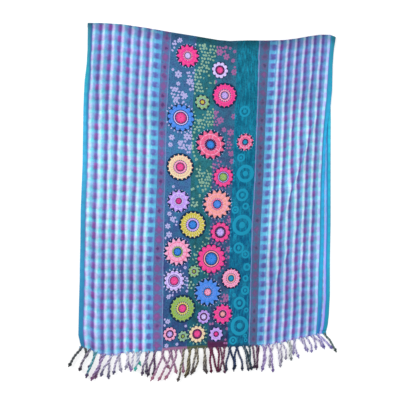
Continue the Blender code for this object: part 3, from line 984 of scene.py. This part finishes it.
class Heap:
    """Many small meshes gathered into one object."""

    def __init__(self):
        self.points, self.faces, self.uv, self.slots, self.count = [], [], [], [], 0

    def put(self, points, faces, uv, slot):
        self.points.append(points)
        self.faces.append(faces + self.count)
        self.uv.append(uv)
        self.slots.append(np.full(len(faces), slot))
        self.count += len(points)

    def sheet(self, rows, maps, slot, flip=False):
        """Adds a sheet from its rows of points."""
        xyz = np.array(rows)
        faces = grid_faces(*xyz.shape[:2], flip=flip)
        self.put(xyz.reshape(-1, 3), faces, np.array(maps).reshape(-1, 2), slot)

    def make(self, name, materials):
        parts = (self.points, self.faces, self.uv, self.slots)
        points, faces, uv, slots = (np.concatenate(part) for part in parts)
        return mesh_object(name, points, faces, uv, materials, slots)


def smooth_line(keys, spots, at):
    """A smooth curve through a few spots, read at many places."""
    keys, spots = np.asarray(keys, float), np.asarray(spots, float)
    slope = np.gradient(spots, keys, axis=0)
    n = np.clip(np.searchsorted(keys, at, side="right") - 1, 0, len(keys) - 2)
    gap = keys[n + 1] - keys[n]
    u = ((at - keys[n]) / gap)[:, None]
    h = gap[:, None]
    a, b = spots[n], spots[n + 1]
    return ((2 * u ** 3 - 3 * u ** 2 + 1) * a + (u ** 3 - 2 * u ** 2 + u) * h * slope[n]
            + (3 * u ** 2 - 2 * u ** 3) * b + (u ** 3 - u ** 2) * h * slope[n + 1])


class Tassel:
    """One tassel along its route, with small waves of its own."""

    def __init__(self, route, root_mid, rest, climb, rand):
        self.root, self.start_y, self.reach, depths, path = route
        self.keys = (-4.0, 0.0) + depths
        self.spots = [(self.root, self.start_y + 4.0), (self.root, self.start_y)] + path
        self.root_mid = float(root_mid(self.root, self.start_y))
        self.rest, self.climb = rest, climb
        self.knot = self.reach - rand.uniform(5.5, 8.5)
        self.at = np.linspace(-2.5, self.knot, int(self.knot / 2.3) + 4)
        line = self.line(self.at)
        self.side = left_of(unit(np.gradient(line, axis=0)))
        wave = np.sin(self.at / rand.uniform(6.0, 9.0) + rand.uniform(0.0, 6.28))
        self.wave = 1.1 * wave * soft(self.at / 20.0)
        self.middle = line + self.side * self.wave[:, None]
        self.tip_high = self.height(self.at)[-1]

    def line(self, depth):
        """The route on the plan at depths below the hem."""
        return smooth_line(self.keys, self.spots, depth)

    def height(self, depth):
        """The middle's height: it climbs or sinks from the cloth's edge to where it rests."""
        return self.root_mid + (self.rest - self.root_mid) * soft(np.maximum(depth, 0.0) / self.climb)

    def plies(self, heap, rand):
        """Two plies twisted round one another. They lie flat and apart at the root."""
        twist = rand.uniform(0.0, 6.28)
        pitch = rand.uniform(11.0, 15.0)
        apart = np.exp(-np.maximum(self.at + 2.5, 0.0) / 5.0)
        share = np.clip(self.at / self.reach, 0.0, 1.0)
        radii = 1.95 * (0.7 + 0.3 * soft(self.at / 8.0 + 0.4))
        for ply in (DARK_SLOT, LIGHT_SLOT):
            turn = twist + math.pi * ply + 2 * math.pi * self.at / pitch
            spot = self.middle + self.side * (1.65 + 1.1 * apart)[:, None] * np.cos(turn)[:, None]
            z = self.height(self.at) + 0.55 * np.sin(turn) * (1.0 - apart)
            z = np.maximum(z, radii + 0.15)
            heap.put(*tube(join(*spot.T, z), radii, 6, self.root * MM, share), ply)

    def fan(self, heap, warp_at):
        """Yarns gather into the root from the cloth's edge."""
        depth = np.array((-2.2, 1.0, 4.5, 8.0))
        spread = np.array((1.0, 0.8, 0.35, 0.08))
        z = self.height(depth) + (0.3, 0.15, 0.1, 0.1)
        for k, offset in enumerate((-6.0, -3.6, -1.2, 1.2, 3.6, 6.0)):
            x, y = self.line(depth).T
            across = warp_at(self.root + offset, self.start_y) * MM
            along = (0.5 + k % 2) * ROW_LONG * MM
            yarn_line = join(x + offset * spread, y, z)
            heap.put(*tube(yarn_line, (0.55, 0.8, 0.85, 0.7), 4, across, along), CLOTH_SLOT)

    def knot_and_ends(self, heap, rand):
        """The knot is a bead, with loose ends past it."""
        side, wave = self.side[-1], self.wave[-1]
        tip = self.line(np.linspace(self.knot - 3.0, self.knot + 5.5, 8)) + side * wave
        bead = (2.0, 3.5, 4.5, 4.9, 4.6, 3.7, 2.4, 0.9)
        heap.put(*tube(join(*tip.T, self.tip_high + 0.2), bead, 8, self.root * MM, 1.0, 0.45), DARK_SLOT)
        spread = rand.uniform(0.6, 1.5)
        for k in range(3):
            lean = wave + (k - 1) * spread * np.linspace(0.6, 1.6, 4)
            ends = self.line(np.linspace(self.knot + 3.5, self.reach + 1.0, 4)) + side * lean[:, None]
            ends = join(*ends.T, self.tip_high - 0.4)
            heap.put(*tube(ends, (0.9, 1.0, 0.8, 0.3), 4, self.root * MM, 1.0), k % 2)


def tassels(routes, root_mid, rest, climb, warp_at, seed):
    """The tassels of one end, in a heap that takes its hem strip too."""
    heap, rand = Heap(), random.Random(seed)
    for route in routes:
        tassel = Tassel(route, root_mid, rest, climb, rand)
        tassel.plies(heap, rand)
        tassel.fan(heap, warp_at)
        tassel.knot_and_ends(heap, rand)
    return heap


def front_strip(heap):
    """The last picks of the visible end, which go on from the cloth above without a step."""
    top = HEM_STRIP / HALF_LONG
    rows, maps = [], []
    for v, drop in (
        (0.0, WALL), (0.0, WALL - EDGE_ROUND), (0.0, EDGE_ROUND), (0.6 / HALF_LONG, 0.0),
        (4.5 / HALF_LONG, 0.0), (top - 0.001, 0.0), (top, 0.4),
    ):
        x, y = plan(ACROSS, v)
        rows.append(join(x, y, front_top(x, y) - drop))
        maps.append(cloth_uv(ACROSS, weft_row(ACROSS, v)))
    heap.sheet(rows, maps, CLOTH_SLOT)


def back_strip(heap):
    """The last picks of the hidden end."""
    x = np.append(np.arange(-298.0, UNDER_RIGHT, 3.0), UNDER_RIGHT + 1.0)
    hem = back_hem(x)
    profile = (
        (0.0, 0.05), (0.0, 0.4), (0.0, UNDER_THICK - 0.4), (0.5, UNDER_THICK),
        (HEM_STRIP - 0.3, UNDER_THICK), (HEM_STRIP, 1.2),
    )
    rows = [join(x, hem + up, z) for up, z in profile]
    heap.sheet(rows, [cloth_uv(under_warp(x, hem), 0.4)] * len(rows), CLOTH_SLOT)


def on_front(s, q, lift):
    """Places on the visible face. s names the warp line, q is the way up from the hem."""
    x, y = plan(s, q / HALF_LONG)
    return join(x, y, front_top(x, y) + lift)


# Embroidery yarns: name, colour, the yarn that strays in among it
THREADS = (
    ("pink", "f0419a", "rose"), ("rose", "ea6a94", "pale_pink"), ("pale_pink", "f2acd0", "rose"),
    ("salmon", "f2a4a0", "pale_pink"), ("blue", "2f84dc", "cornflower"), ("cornflower", "5890ea", "blue"),
    ("lilac", "c09cee", "lavender"), ("lavender", "dacbfa", "lilac"), ("yellow", "ccc04c", "cream"),
    ("cream", "ecdab4", "salmon"), ("lime", "98b854", "pale_green"), ("pale_green", "90b89c", "lime"),
    ("turquoise", "1c9cb8", "blue"), ("magenta", "c4368c", "pink"), ("plum", "401c48", "magenta"),
)
THREAD_SLOT = {name: n for n, (name, code, companion) in enumerate(THREADS)}
COMPANION = {name: companion for name, code, companion in THREADS}


class Needle:
    """Satin stitches: each is a short rounded bar between two places on the cloth."""

    def __init__(self):
        self.rows = []

    def stitch(self, a, b, wide, high, colour):
        self.rows.append((*a, *b, wide, high, THREAD_SLOT[colour]))

    def ring(self, centre, inner, outer, wide, high, colour):
        """Radial stitches round a ring, each third one a little short, as hand work is."""
        count = max(8, int(2 * math.pi * (inner + outer) / 2 / (wide * 0.84)))
        for k in range(count):
            turn = 2 * math.pi * k / count
            far = outer - (0.5 if k % 3 == 1 else 0.0)
            yarn_name = COMPANION[colour] if k % 4 == 2 and outer > 6.0 else colour
            ends = around(*centre, inner, turn), around(*centre, far, turn)
            self.stitch(*ends, wide * 1.15, high, yarn_name)

    def leaf(self, centre, long, wide, turn, pitch, high, colour, shape=0.0):
        """Stitches side by side across a leaf. shape moves its widest part: 0 is an oval, 1 a ray."""
        count = max(2, int(2 * long / pitch + 0.5))
        c, d = math.cos(turn), math.sin(turn)
        for k in range(count):
            at = -1.0 + 2.0 * (k + 0.5) / count
            oval = math.sqrt(max(1.0 - at * at, 0.0))
            half = wide * ((1.0 - shape) * oval + shape * (1.0 - at) / 2)
            if half < 0.5:
                continue
            x, y = centre[0] + c * at * long, centre[1] + d * at * long
            yarn_name = COMPANION[colour] if k == count // 2 and count > 4 else colour
            ends = (x + d * half, y - c * half), (x - d * half, y + c * half)
            self.stitch(*ends, pitch * 1.3, high, yarn_name)

    def petals(self, centre, reach, parts, first_turn, *leaf):
        """Leaves side by side round a flower."""
        long, wide, *look = leaf
        for k in range(parts):
            turn = 2 * math.pi * k / parts + first_turn
            self.leaf(around(*centre, reach, turn), long, wide, turn, *look)

    def rim(self, centre, inner, outer, count, wide, high, colour):
        """Short stitches set apart round a flower."""
        for k in range(count):
            turn = 2 * math.pi * (k + 0.5) / count
            self.stitch(around(*centre, inner, turn), around(*centre, outer, turn), wide, high, colour)

    def make(self, name, materials):
        """A stitch is four rings of four points, closed at both ends."""
        rows = np.array(self.rows)
        a, b, wide, high, slot = rows[:, 0:2], rows[:, 2:4], rows[:, 4], rows[:, 5], rows[:, 6]
        side = left_of(unit(b - a))
        points = []
        for share, spread, rise in ((0.0, 0.5, 0.2), (0.2, 1.0, 1.0), (0.8, 1.0, 1.0), (1.0, 0.5, 0.2)):
            spot = a + (b - a) * share
            for across, up in ((-0.5, 0.0), (-0.25, 0.8), (0.25, 0.8), (0.5, 0.0)):
                at = spot + side * (across * spread * wide)[:, None]
                points.append(on_front(at[:, 0], at[:, 1], 0.08 + up * rise * high))
        pattern = np.concatenate([ring_faces(4, 4), [(0, 3, 2, 1), (12, 13, 14, 15)]])
        faces = (np.arange(len(rows))[:, None, None] * 16 + pattern).reshape(-1, 4)
        points = np.stack(points, 1).reshape(-1, 3)
        uv, slots = np.repeat(a * MM, 16, 0), np.repeat(slot, len(pattern))
        return mesh_object(name, points, faces, uv, materials, slots)


# A flower is large over this radius
LARGE_FLOWER = 22.0

# Flowers: kind, warp line, way up, radius, parts, outer colour, middle colour, heart colour
FLOWERS = (
    ("daisy", -50, 778, 30, 12, "pink", "rose", "lavender"),
    ("rosette", 40, 752, 22, 10, "lavender", "plum", "pink"),
    ("sun", 56, 684, 34, 16, "pink", "pale_pink", "lilac"),
    ("daisy", -4, 660, 20, 9, "pale_green", "plum", "yellow"),
    ("rosette", -60, 612, 35, 14, "cornflower", "lavender", "pink"),
    ("daisy", 22, 548, 39, 13, "rose", "plum", "blue"),
    ("sun", -58, 482, 36, 18, "cream", "pale_pink", "pink"),
    ("rosette", 60, 462, 27, 12, "pink", "lilac", "lime"),
    ("daisy", 118, 556, 23, 10, "rose", "plum", "turquoise"),
    ("daisy", 46, 388, 39, 14, "salmon", "rose", "cornflower"),
    ("daisy", -60, 392, 29, 11, "lilac", "lavender", "magenta"),
    ("sun", -20, 330, 37, 18, "yellow", "lilac", "blue"),
    ("rosette", 58, 312, 27, 10, "pink", "plum", "lilac"),
    ("daisy", -60, 258, 36, 14, "pale_pink", "lime", "blue"),
    ("rosette", 34, 240, 39, 14, "pink", "salmon", "blue"),
    ("daisy", -14, 206, 16, 9, "pale_green", "plum", "lime"),
    ("sun", 92, 186, 28, 16, "pale_pink", "salmon", "turquoise"),
    ("rosette", -68, 182, 27, 12, "lavender", "lilac", "pink"),
    ("daisy", 26, 150, 36, 13, "cornflower", "blue", "pale_pink"),
    ("sun", -44, 108, 36, 18, "lime", "yellow", "pink"),
    ("daisy", 70, 90, 27, 10, "pink", "plum", "salmon"),
    ("rosette", 16, 84, 18, 9, "lilac", "plum", "lavender"),
    ("rosette", -2, 38, 23, 11, "cream", "plum", "pink"),
    ("daisy", 52, 36, 20, 9, "lilac", "plum", "pink"),
    ("rosette", -78, 42, 18, 9, "pale_pink", "plum", "lilac"),
    ("daisy", -42, 34, 14, 8, "pale_green", "plum", "lime"),
)


def daisy(needle, centre, r, parts, outer, middle, heart):
    """Petals over a band of their own colour, a ring and a filled heart."""
    reach = r * 0.70
    wide = min(math.pi * reach / parts * 0.92, r * 0.27)
    needle.ring(centre, r * 0.42, r * 0.82, 2.8, 0.35, outer)
    needle.petals(centre, reach, parts, centre[0] * 0.05, r * 0.28, wide, 1.9, 0.95, outer)
    needle.ring(centre, r * 0.31, r * 0.41, 1.6, 0.85, middle)
    needle.ring(centre, 0.6, r * 0.28, 1.3, 1.0, heart)
    needle.rim(centre, r * 0.38, r * 0.47, max(8, int(r * 0.6)), 1.1, 1.0, "lavender")
    if r > LARGE_FLOWER:
        needle.rim(centre, r * 0.97, r * 1.08, parts * 2, 1.5, 0.5, "lavender")


def rosette(needle, centre, r, parts, outer, middle, heart):
    """Fat round lobes on the rim, a broad band inside them and a filled heart."""
    reach = r * 0.82
    wide = math.pi * reach / parts * 0.94
    needle.ring(centre, r * 0.59, r * 0.82, 2.0, 0.45, outer)
    needle.petals(centre, reach, parts, centre[1] * 0.03, r * 0.17, wide, 1.8, 0.9, outer)
    needle.ring(centre, r * 0.46, r * 0.55, 1.5, 0.7, middle)
    needle.ring(centre, 0.6, r * 0.42, 1.6, 0.95, heart)
    if r > LARGE_FLOWER:
        needle.rim(centre, r * 0.60, r * 0.70, parts * 2, 1.2, 0.85, COMPANION[outer])


def sun(needle, centre, r, parts, outer, middle, heart):
    """Pointed rays round two rings and a filled heart."""
    wide = math.pi * r * 0.72 / parts * 0.98
    needle.ring(centre, r * 0.70, r * 0.86, 2.8, 0.35, outer)
    needle.petals(centre, r * 0.86, parts, 0.0, r * 0.14, wide, 1.7, 0.65, outer, 1.0)
    needle.ring(centre, r * 0.50, r * 0.73, 1.7, 0.85, outer)
    needle.ring(centre, r * 0.33, r * 0.47, 1.5, 0.75, middle)
    needle.ring(centre, 0.6, r * 0.29, 1.4, 0.95, heart)
    needle.rim(centre, r * 0.44, r * 0.53, parts, 1.2, 0.95, "lavender")


def embroidery(materials):
    """All the flowers of the centre panel."""
    needle = Needle()
    kinds = {"daisy": daisy, "rosette": rosette, "sun": sun}
    for kind, s, q, *rest in FLOWERS:
        kinds[kind](needle, (s, q), *rest)
    return needle.make("stole_embroidery", materials)


# Figures woven into the cloth: their slots, the low edge they start from, and the room they have
WOVEN_SLOT, GROUND_SLOT = 0, 1
FIGURE_EDGE = 0.02
PANEL_LEFT, PANEL_RIGHT = -97.0, 148.0
UPPER_HALF = 430.0
DOT_SIDES = 8

# Rings woven in the ground's own colour: warp line, way up, radius, ring width
RINGS = (
    (108, 514, 11, 4), (122, 470, 24, 8), (116, 412, 17, 6), (120, 330, 28, 9), (112, 268, 15, 5),
    (134, 152, 12, 5), (118, 118, 17, 6), (120, 56, 26, 9), (98, 372, 10, 4), (132, 250, 11, 4),
    (102, 17, 11, 4), (114, 640, 15, 5),
)


def flat_ring(heap, s, q, inner, outer, lift, sides, slot):
    """A woven ring that lies in the face of the cloth. An inner radius of 0 makes a disc."""
    turn = np.linspace(0.0, 2 * math.pi, sides + 1)
    steps = max(1, int((outer - inner) / 6.0))
    radii = [(inner + (outer - inner) * k / steps, lift) for k in range(steps + 1)]
    if inner > 0.0:
        radii.insert(0, (inner - 0.4, FIGURE_EDGE))
    else:
        radii[0] = (0.05, lift)
    radii.append((outer + 0.4, FIGURE_EDGE))
    r, up = (np.array(column)[:, None] for column in zip(*radii))
    at_s, at_q = s + r * np.cos(turn), q + r * np.sin(turn)
    heap.sheet(on_front(at_s, at_q, up), join(at_s * MM, at_q * MM), slot, flip=True)


class Dots:
    """Woven dots and leaves, gathered in a table and made at once."""

    def __init__(self):
        self.rows = []

    def put(self, s, q, wide, long, turn):
        self.rows.append((s, q, wide, long, turn))

    def spray(self, s, q, size, turn):
        """Leaves on both sides of a stem."""
        for k in range(4):
            stem = around(s, q, size * (0.1 + 0.27 * k), turn)
            for lean in (turn - 0.8, turn + 0.8):
                self.put(*around(*stem, size * 0.24, lean), size * 0.10, size * 0.20, lean)
        self.put(*around(s, q, size * 1.15, turn), size * 0.1, size * 0.16, turn)

    def bloom(self, s, q, size, turn):
        """Six petals."""
        for k in range(6):
            lean = turn + k * math.pi / 3
            self.put(*around(s, q, size * 0.58, lean), size * 0.26, size * 0.38, lean)

    def fill(self, heap, lift):
        rows = np.array(self.rows)
        s, q, wide, long, turn = (rows[:, n][:, None] for n in range(5))
        angle = np.linspace(0.0, 2 * math.pi, DOT_SIDES, endpoint=False)
        rings, maps = [], []
        for share, up in ((1.15, FIGURE_EDGE), (0.85, lift), (0.05, lift)):
            along, across = long * share * np.cos(angle), wide * share * np.sin(angle)
            at_s = s + along * np.cos(turn) - across * np.sin(turn)
            at_q = q + along * np.sin(turn) + across * np.cos(turn)
            rings.append(on_front(at_s, at_q, up))
            maps.append(join(at_s * MM, at_q * MM))
        first = np.arange(len(rows))[:, None, None] * 3 * DOT_SIDES
        faces = (first + ring_faces(3, DOT_SIDES)).reshape(-1, 4)
        heap.put(np.stack(rings, 1).reshape(-1, 3), faces, np.stack(maps, 1).reshape(-1, 2), WOVEN_SLOT)


def free(taken, s, q, size):
    """Whether a place keeps clear of every round figure so far."""
    return all((s - a) ** 2 + (q - b) ** 2 > (r + size) ** 2 for a, b, r in taken)


def flower_grounds(heap, dots):
    """A dark ground under each flower, and beads round the large rosettes."""
    for kind, s, q, r, *_ in FLOWERS:
        flat_ring(heap, s, q, 0.0, r + 0.6, 0.10, 36, GROUND_SLOT)
        beads = int(r * 0.72) if kind == "rosette" and r > LARGE_FLOWER else 0
        for k in range(beads):
            turn = 2 * math.pi * k / beads
            spot = around(s, q, r + 3.6, turn)
            if PANEL_LEFT < spot[0] < PANEL_RIGHT:
                dots.put(*spot, 1.5, 2.6, turn)


def pips(dots, taken, rand):
    """Fields of small pips, thick in the upper half and thin in the lower."""
    for row in range(92):
        q = 12.0 + row * 8.8
        upper = q > UPPER_HALF
        for column in range(22):
            s = -92.0 + column * 8.4 + (row % 2) * 4.2 + rand.uniform(-1.8, 1.8)
            patch = math.sin(s / 11.0 + q / 17.0) + math.sin(q / 29.0 - s / 19.0)
            wanted = -0.4 if -34.0 < s < 28.0 and upper else 0.7 if upper else 0.9
            if s <= 84.0 and patch > wanted and free(taken, s, q, 3.5):
                q_there = q + rand.uniform(-1.8, 1.8)
                wide, long = rand.uniform(2.2, 2.8), rand.uniform(2.6, 3.4)
                dots.put(s, q_there, wide, long, rand.uniform(0.0, 3.1))


def fillers(heap, dots, taken, rand):
    """Small rings, sprays and blooms where there is room, each kind in its own columns."""
    made = 0
    for tries in range(1, 5001):
        if made == 90:
            break
        s, q = rand.uniform(-92.0, 143.0), rand.uniform(12.0, 816.0)
        size = rand.uniform(6.0, 11.0) if tries < 2500 else rand.uniform(4.0, 6.0)
        if not free(taken, s, q, size + 1.5) or s - size < PANEL_LEFT or s + size > PANEL_RIGHT:
            continue
        if s < 84.0 and q > UPPER_HALF and rand.random() < 0.7:
            continue
        if s > 84.0 and rand.random() < 0.5 + q / 900.0:
            continue
        taken.append((s, q, size))
        made += 1
        turn = rand.uniform(0.0, 6.28)
        if s > 86.0:
            flat_ring(heap, s, q, size * 0.55, size, 0.12, 20, WOVEN_SLOT)
        elif -29.0 < s < 28.0:
            dots.spray(*around(s, q, -size * 0.5, turn), size * 0.9, turn)
        else:
            dots.bloom(s, q, size, turn)


def brocade_figures(materials):
    """Dark grounds and woven edges for the flowers, and fillers strewn between them."""
    heap, dots, rand = Heap(), Dots(), random.Random(5)
    flower_grounds(heap, dots)
    for s, q, r, wide in RINGS:
        flat_ring(heap, s, q, r - wide, r, 0.12, 28, WOVEN_SLOT)
        flat_ring(heap, s, q, 0.0, r * 0.3, 0.12, 14, WOVEN_SLOT)
    taken = [(s, q, r + 4.0) for _, s, q, r, *_ in FLOWERS] + [ring[:3] for ring in RINGS]
    pips(dots, taken, rand)
    fillers(heap, dots, taken, rand)
    dots.fill(heap, 0.13)
    return heap.make("stole_woven_figures", materials)


check = check_wool("stole_check_wool", FRONT_EDGE, FRONT_LAST, 0.65, "3290b8")
# The hidden half's copy of the cloth has its own right edge colours; its last light stripe holds painted
# shade from the visible half's edge
check_under = check_wool("stole_check_wool_under", UNDER_EDGE, UNDER_LAST, 0.15, "2a8ac0")
yarn = [
    tassel_wool("stole_tassel_wool_dark", DARK_PLY, "6a6286", 0.20),
    tassel_wool("stole_tassel_wool_light", LIGHT_PLY, "e8e4f0", 0.22),
]
threads = [thread("stole_thread_" + name, code) for name, code, companion in THREADS]
dark_ground = thread("stole_dark_ground", "0c2a4a")

cloth_front = front_shell(check)
cloth_under = under_shell(check_under)

front_routes = tassel_routes(FRONT_LAY, FRONT_TASSELS, front_cut(), 4.0, 4.0, 1.6)
back_routes = tassel_routes(BACK_LAY, BACK_TASSELS, back_cut(), 9.0, 6.0, 1.9)
front_heap = tassels(front_routes, front_mid, FRONT_REST, FRONT_CLIMB, front_warp, 3)
back_heap = tassels(back_routes, lambda x, y: UNDER_THICK / 2, BACK_REST, BACK_CLIMB, under_warp, 4)
front_strip(front_heap)
back_strip(back_heap)
tassels_front = front_heap.make("stole_front_tassels", yarn + [check])
tassels_back = back_heap.make("stole_back_tassels", yarn + [check_under])

stitched = embroidery(threads)
woven = brocade_figures([brocade("stole_woven_figure_wool"), dark_ground])

for piece in (cloth_front, cloth_under, tassels_front, tassels_back, stitched, woven):
    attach(piece, "root")
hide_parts("front_layer")
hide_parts("under_layer")
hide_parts("front_fringe")
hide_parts("back_fringe")

# The surface it lies on
floor_mesh = bpy.data.meshes.new("floor")
floor_mesh.from_pydata([(-5, -5, 0), (5, -5, 0), (5, 5, 0), (-5, 5, 0)], [], [(0, 1, 2, 3)])
floor = bpy.data.objects.new("floor", floor_mesh)
floor.location = (0.0, 0.0, -0.0001)
bpy.context.scene.collection.objects.link(floor)
pale = Graph("pale_floor")
for socket, value in (
    ("Base Color", (0.58, 0.58, 0.58, 1.0)), ("Emission Color", (1.0, 1.0, 1.0, 1.0)),
    ("Emission Strength", 0.50), ("Roughness", 0.9), ("Specular IOR Level", 0.1),
):
    pale.shader.inputs[socket].default_value = value
floor_mesh.materials.append(pale.material)

# Soft studio light
world = bpy.data.worlds.new("studio")
bpy.context.scene.world = world
world.use_nodes = True
world.node_tree.nodes["Background"].inputs["Color"].default_value = (0.97, 0.985, 1.0, 1.0)
world.node_tree.nodes["Background"].inputs["Strength"].default_value = 0.72


def area_light(name, place, aim, size, power, colour):
    lamp = bpy.data.lights.new(name, "AREA")
    lamp.shape = "SQUARE"
    lamp.size = size
    lamp.energy = power
    lamp.color = colour
    made = bpy.data.objects.new(name, lamp)
    made.location = place
    made.rotation_euler = (Vector(aim) - Vector(place)).to_track_quat("-Z", "Y").to_euler()
    bpy.context.scene.collection.objects.link(made)


area_light("key", (-2.2, 1.3, 1.5), (0.0, 0.0, 0.0), 1.0, 56.0, (1.0, 0.985, 0.96))
area_light("fill", (1.6, -0.9, 2.0), (0.0, 0.0, 0.0), 2.0, 16.0, (0.95, 0.98, 1.0))

# The camera looks down from a little to the left, as in the photograph
TILT = math.radians(17.2)
ROLL = math.radians(1.25)
AWAY = 1.523
LENS = 51.73
SENSOR = 36.0
aim = Vector((SHIFT[0] * MM, SHIFT[1] * MM, 0.003))
spin = Matrix.Rotation(ROLL, 3, "Z")
eye = aim + spin @ Vector((-AWAY * math.sin(TILT), 0.0, AWAY * math.cos(TILT)))
forward = (aim - eye).normalized()
right = forward.cross(spin @ Vector((0.0, 1.0, 0.0))).normalized()
up = right.cross(forward)
lens = bpy.data.cameras.new("camera")
lens.sensor_fit = "HORIZONTAL"
lens.sensor_width = SENSOR
lens.lens = LENS
lens.clip_start = 0.05
lens.clip_end = 50.0
camera = bpy.data.objects.new("camera", lens)
camera.matrix_world = Matrix((
    (right.x, up.x, -forward.x, eye.x),
    (right.y, up.y, -forward.y, eye.y),
    (right.z, up.z, -forward.z, eye.z),
    (0.0, 0.0, 0.0, 1.0),
))
bpy.context.scene.collection.objects.link(camera)
bpy.context.scene.camera = camera
bpy.context.scene.view_settings.view_transform = "Standard"
bpy.context.scene.view_settings.look = "None"
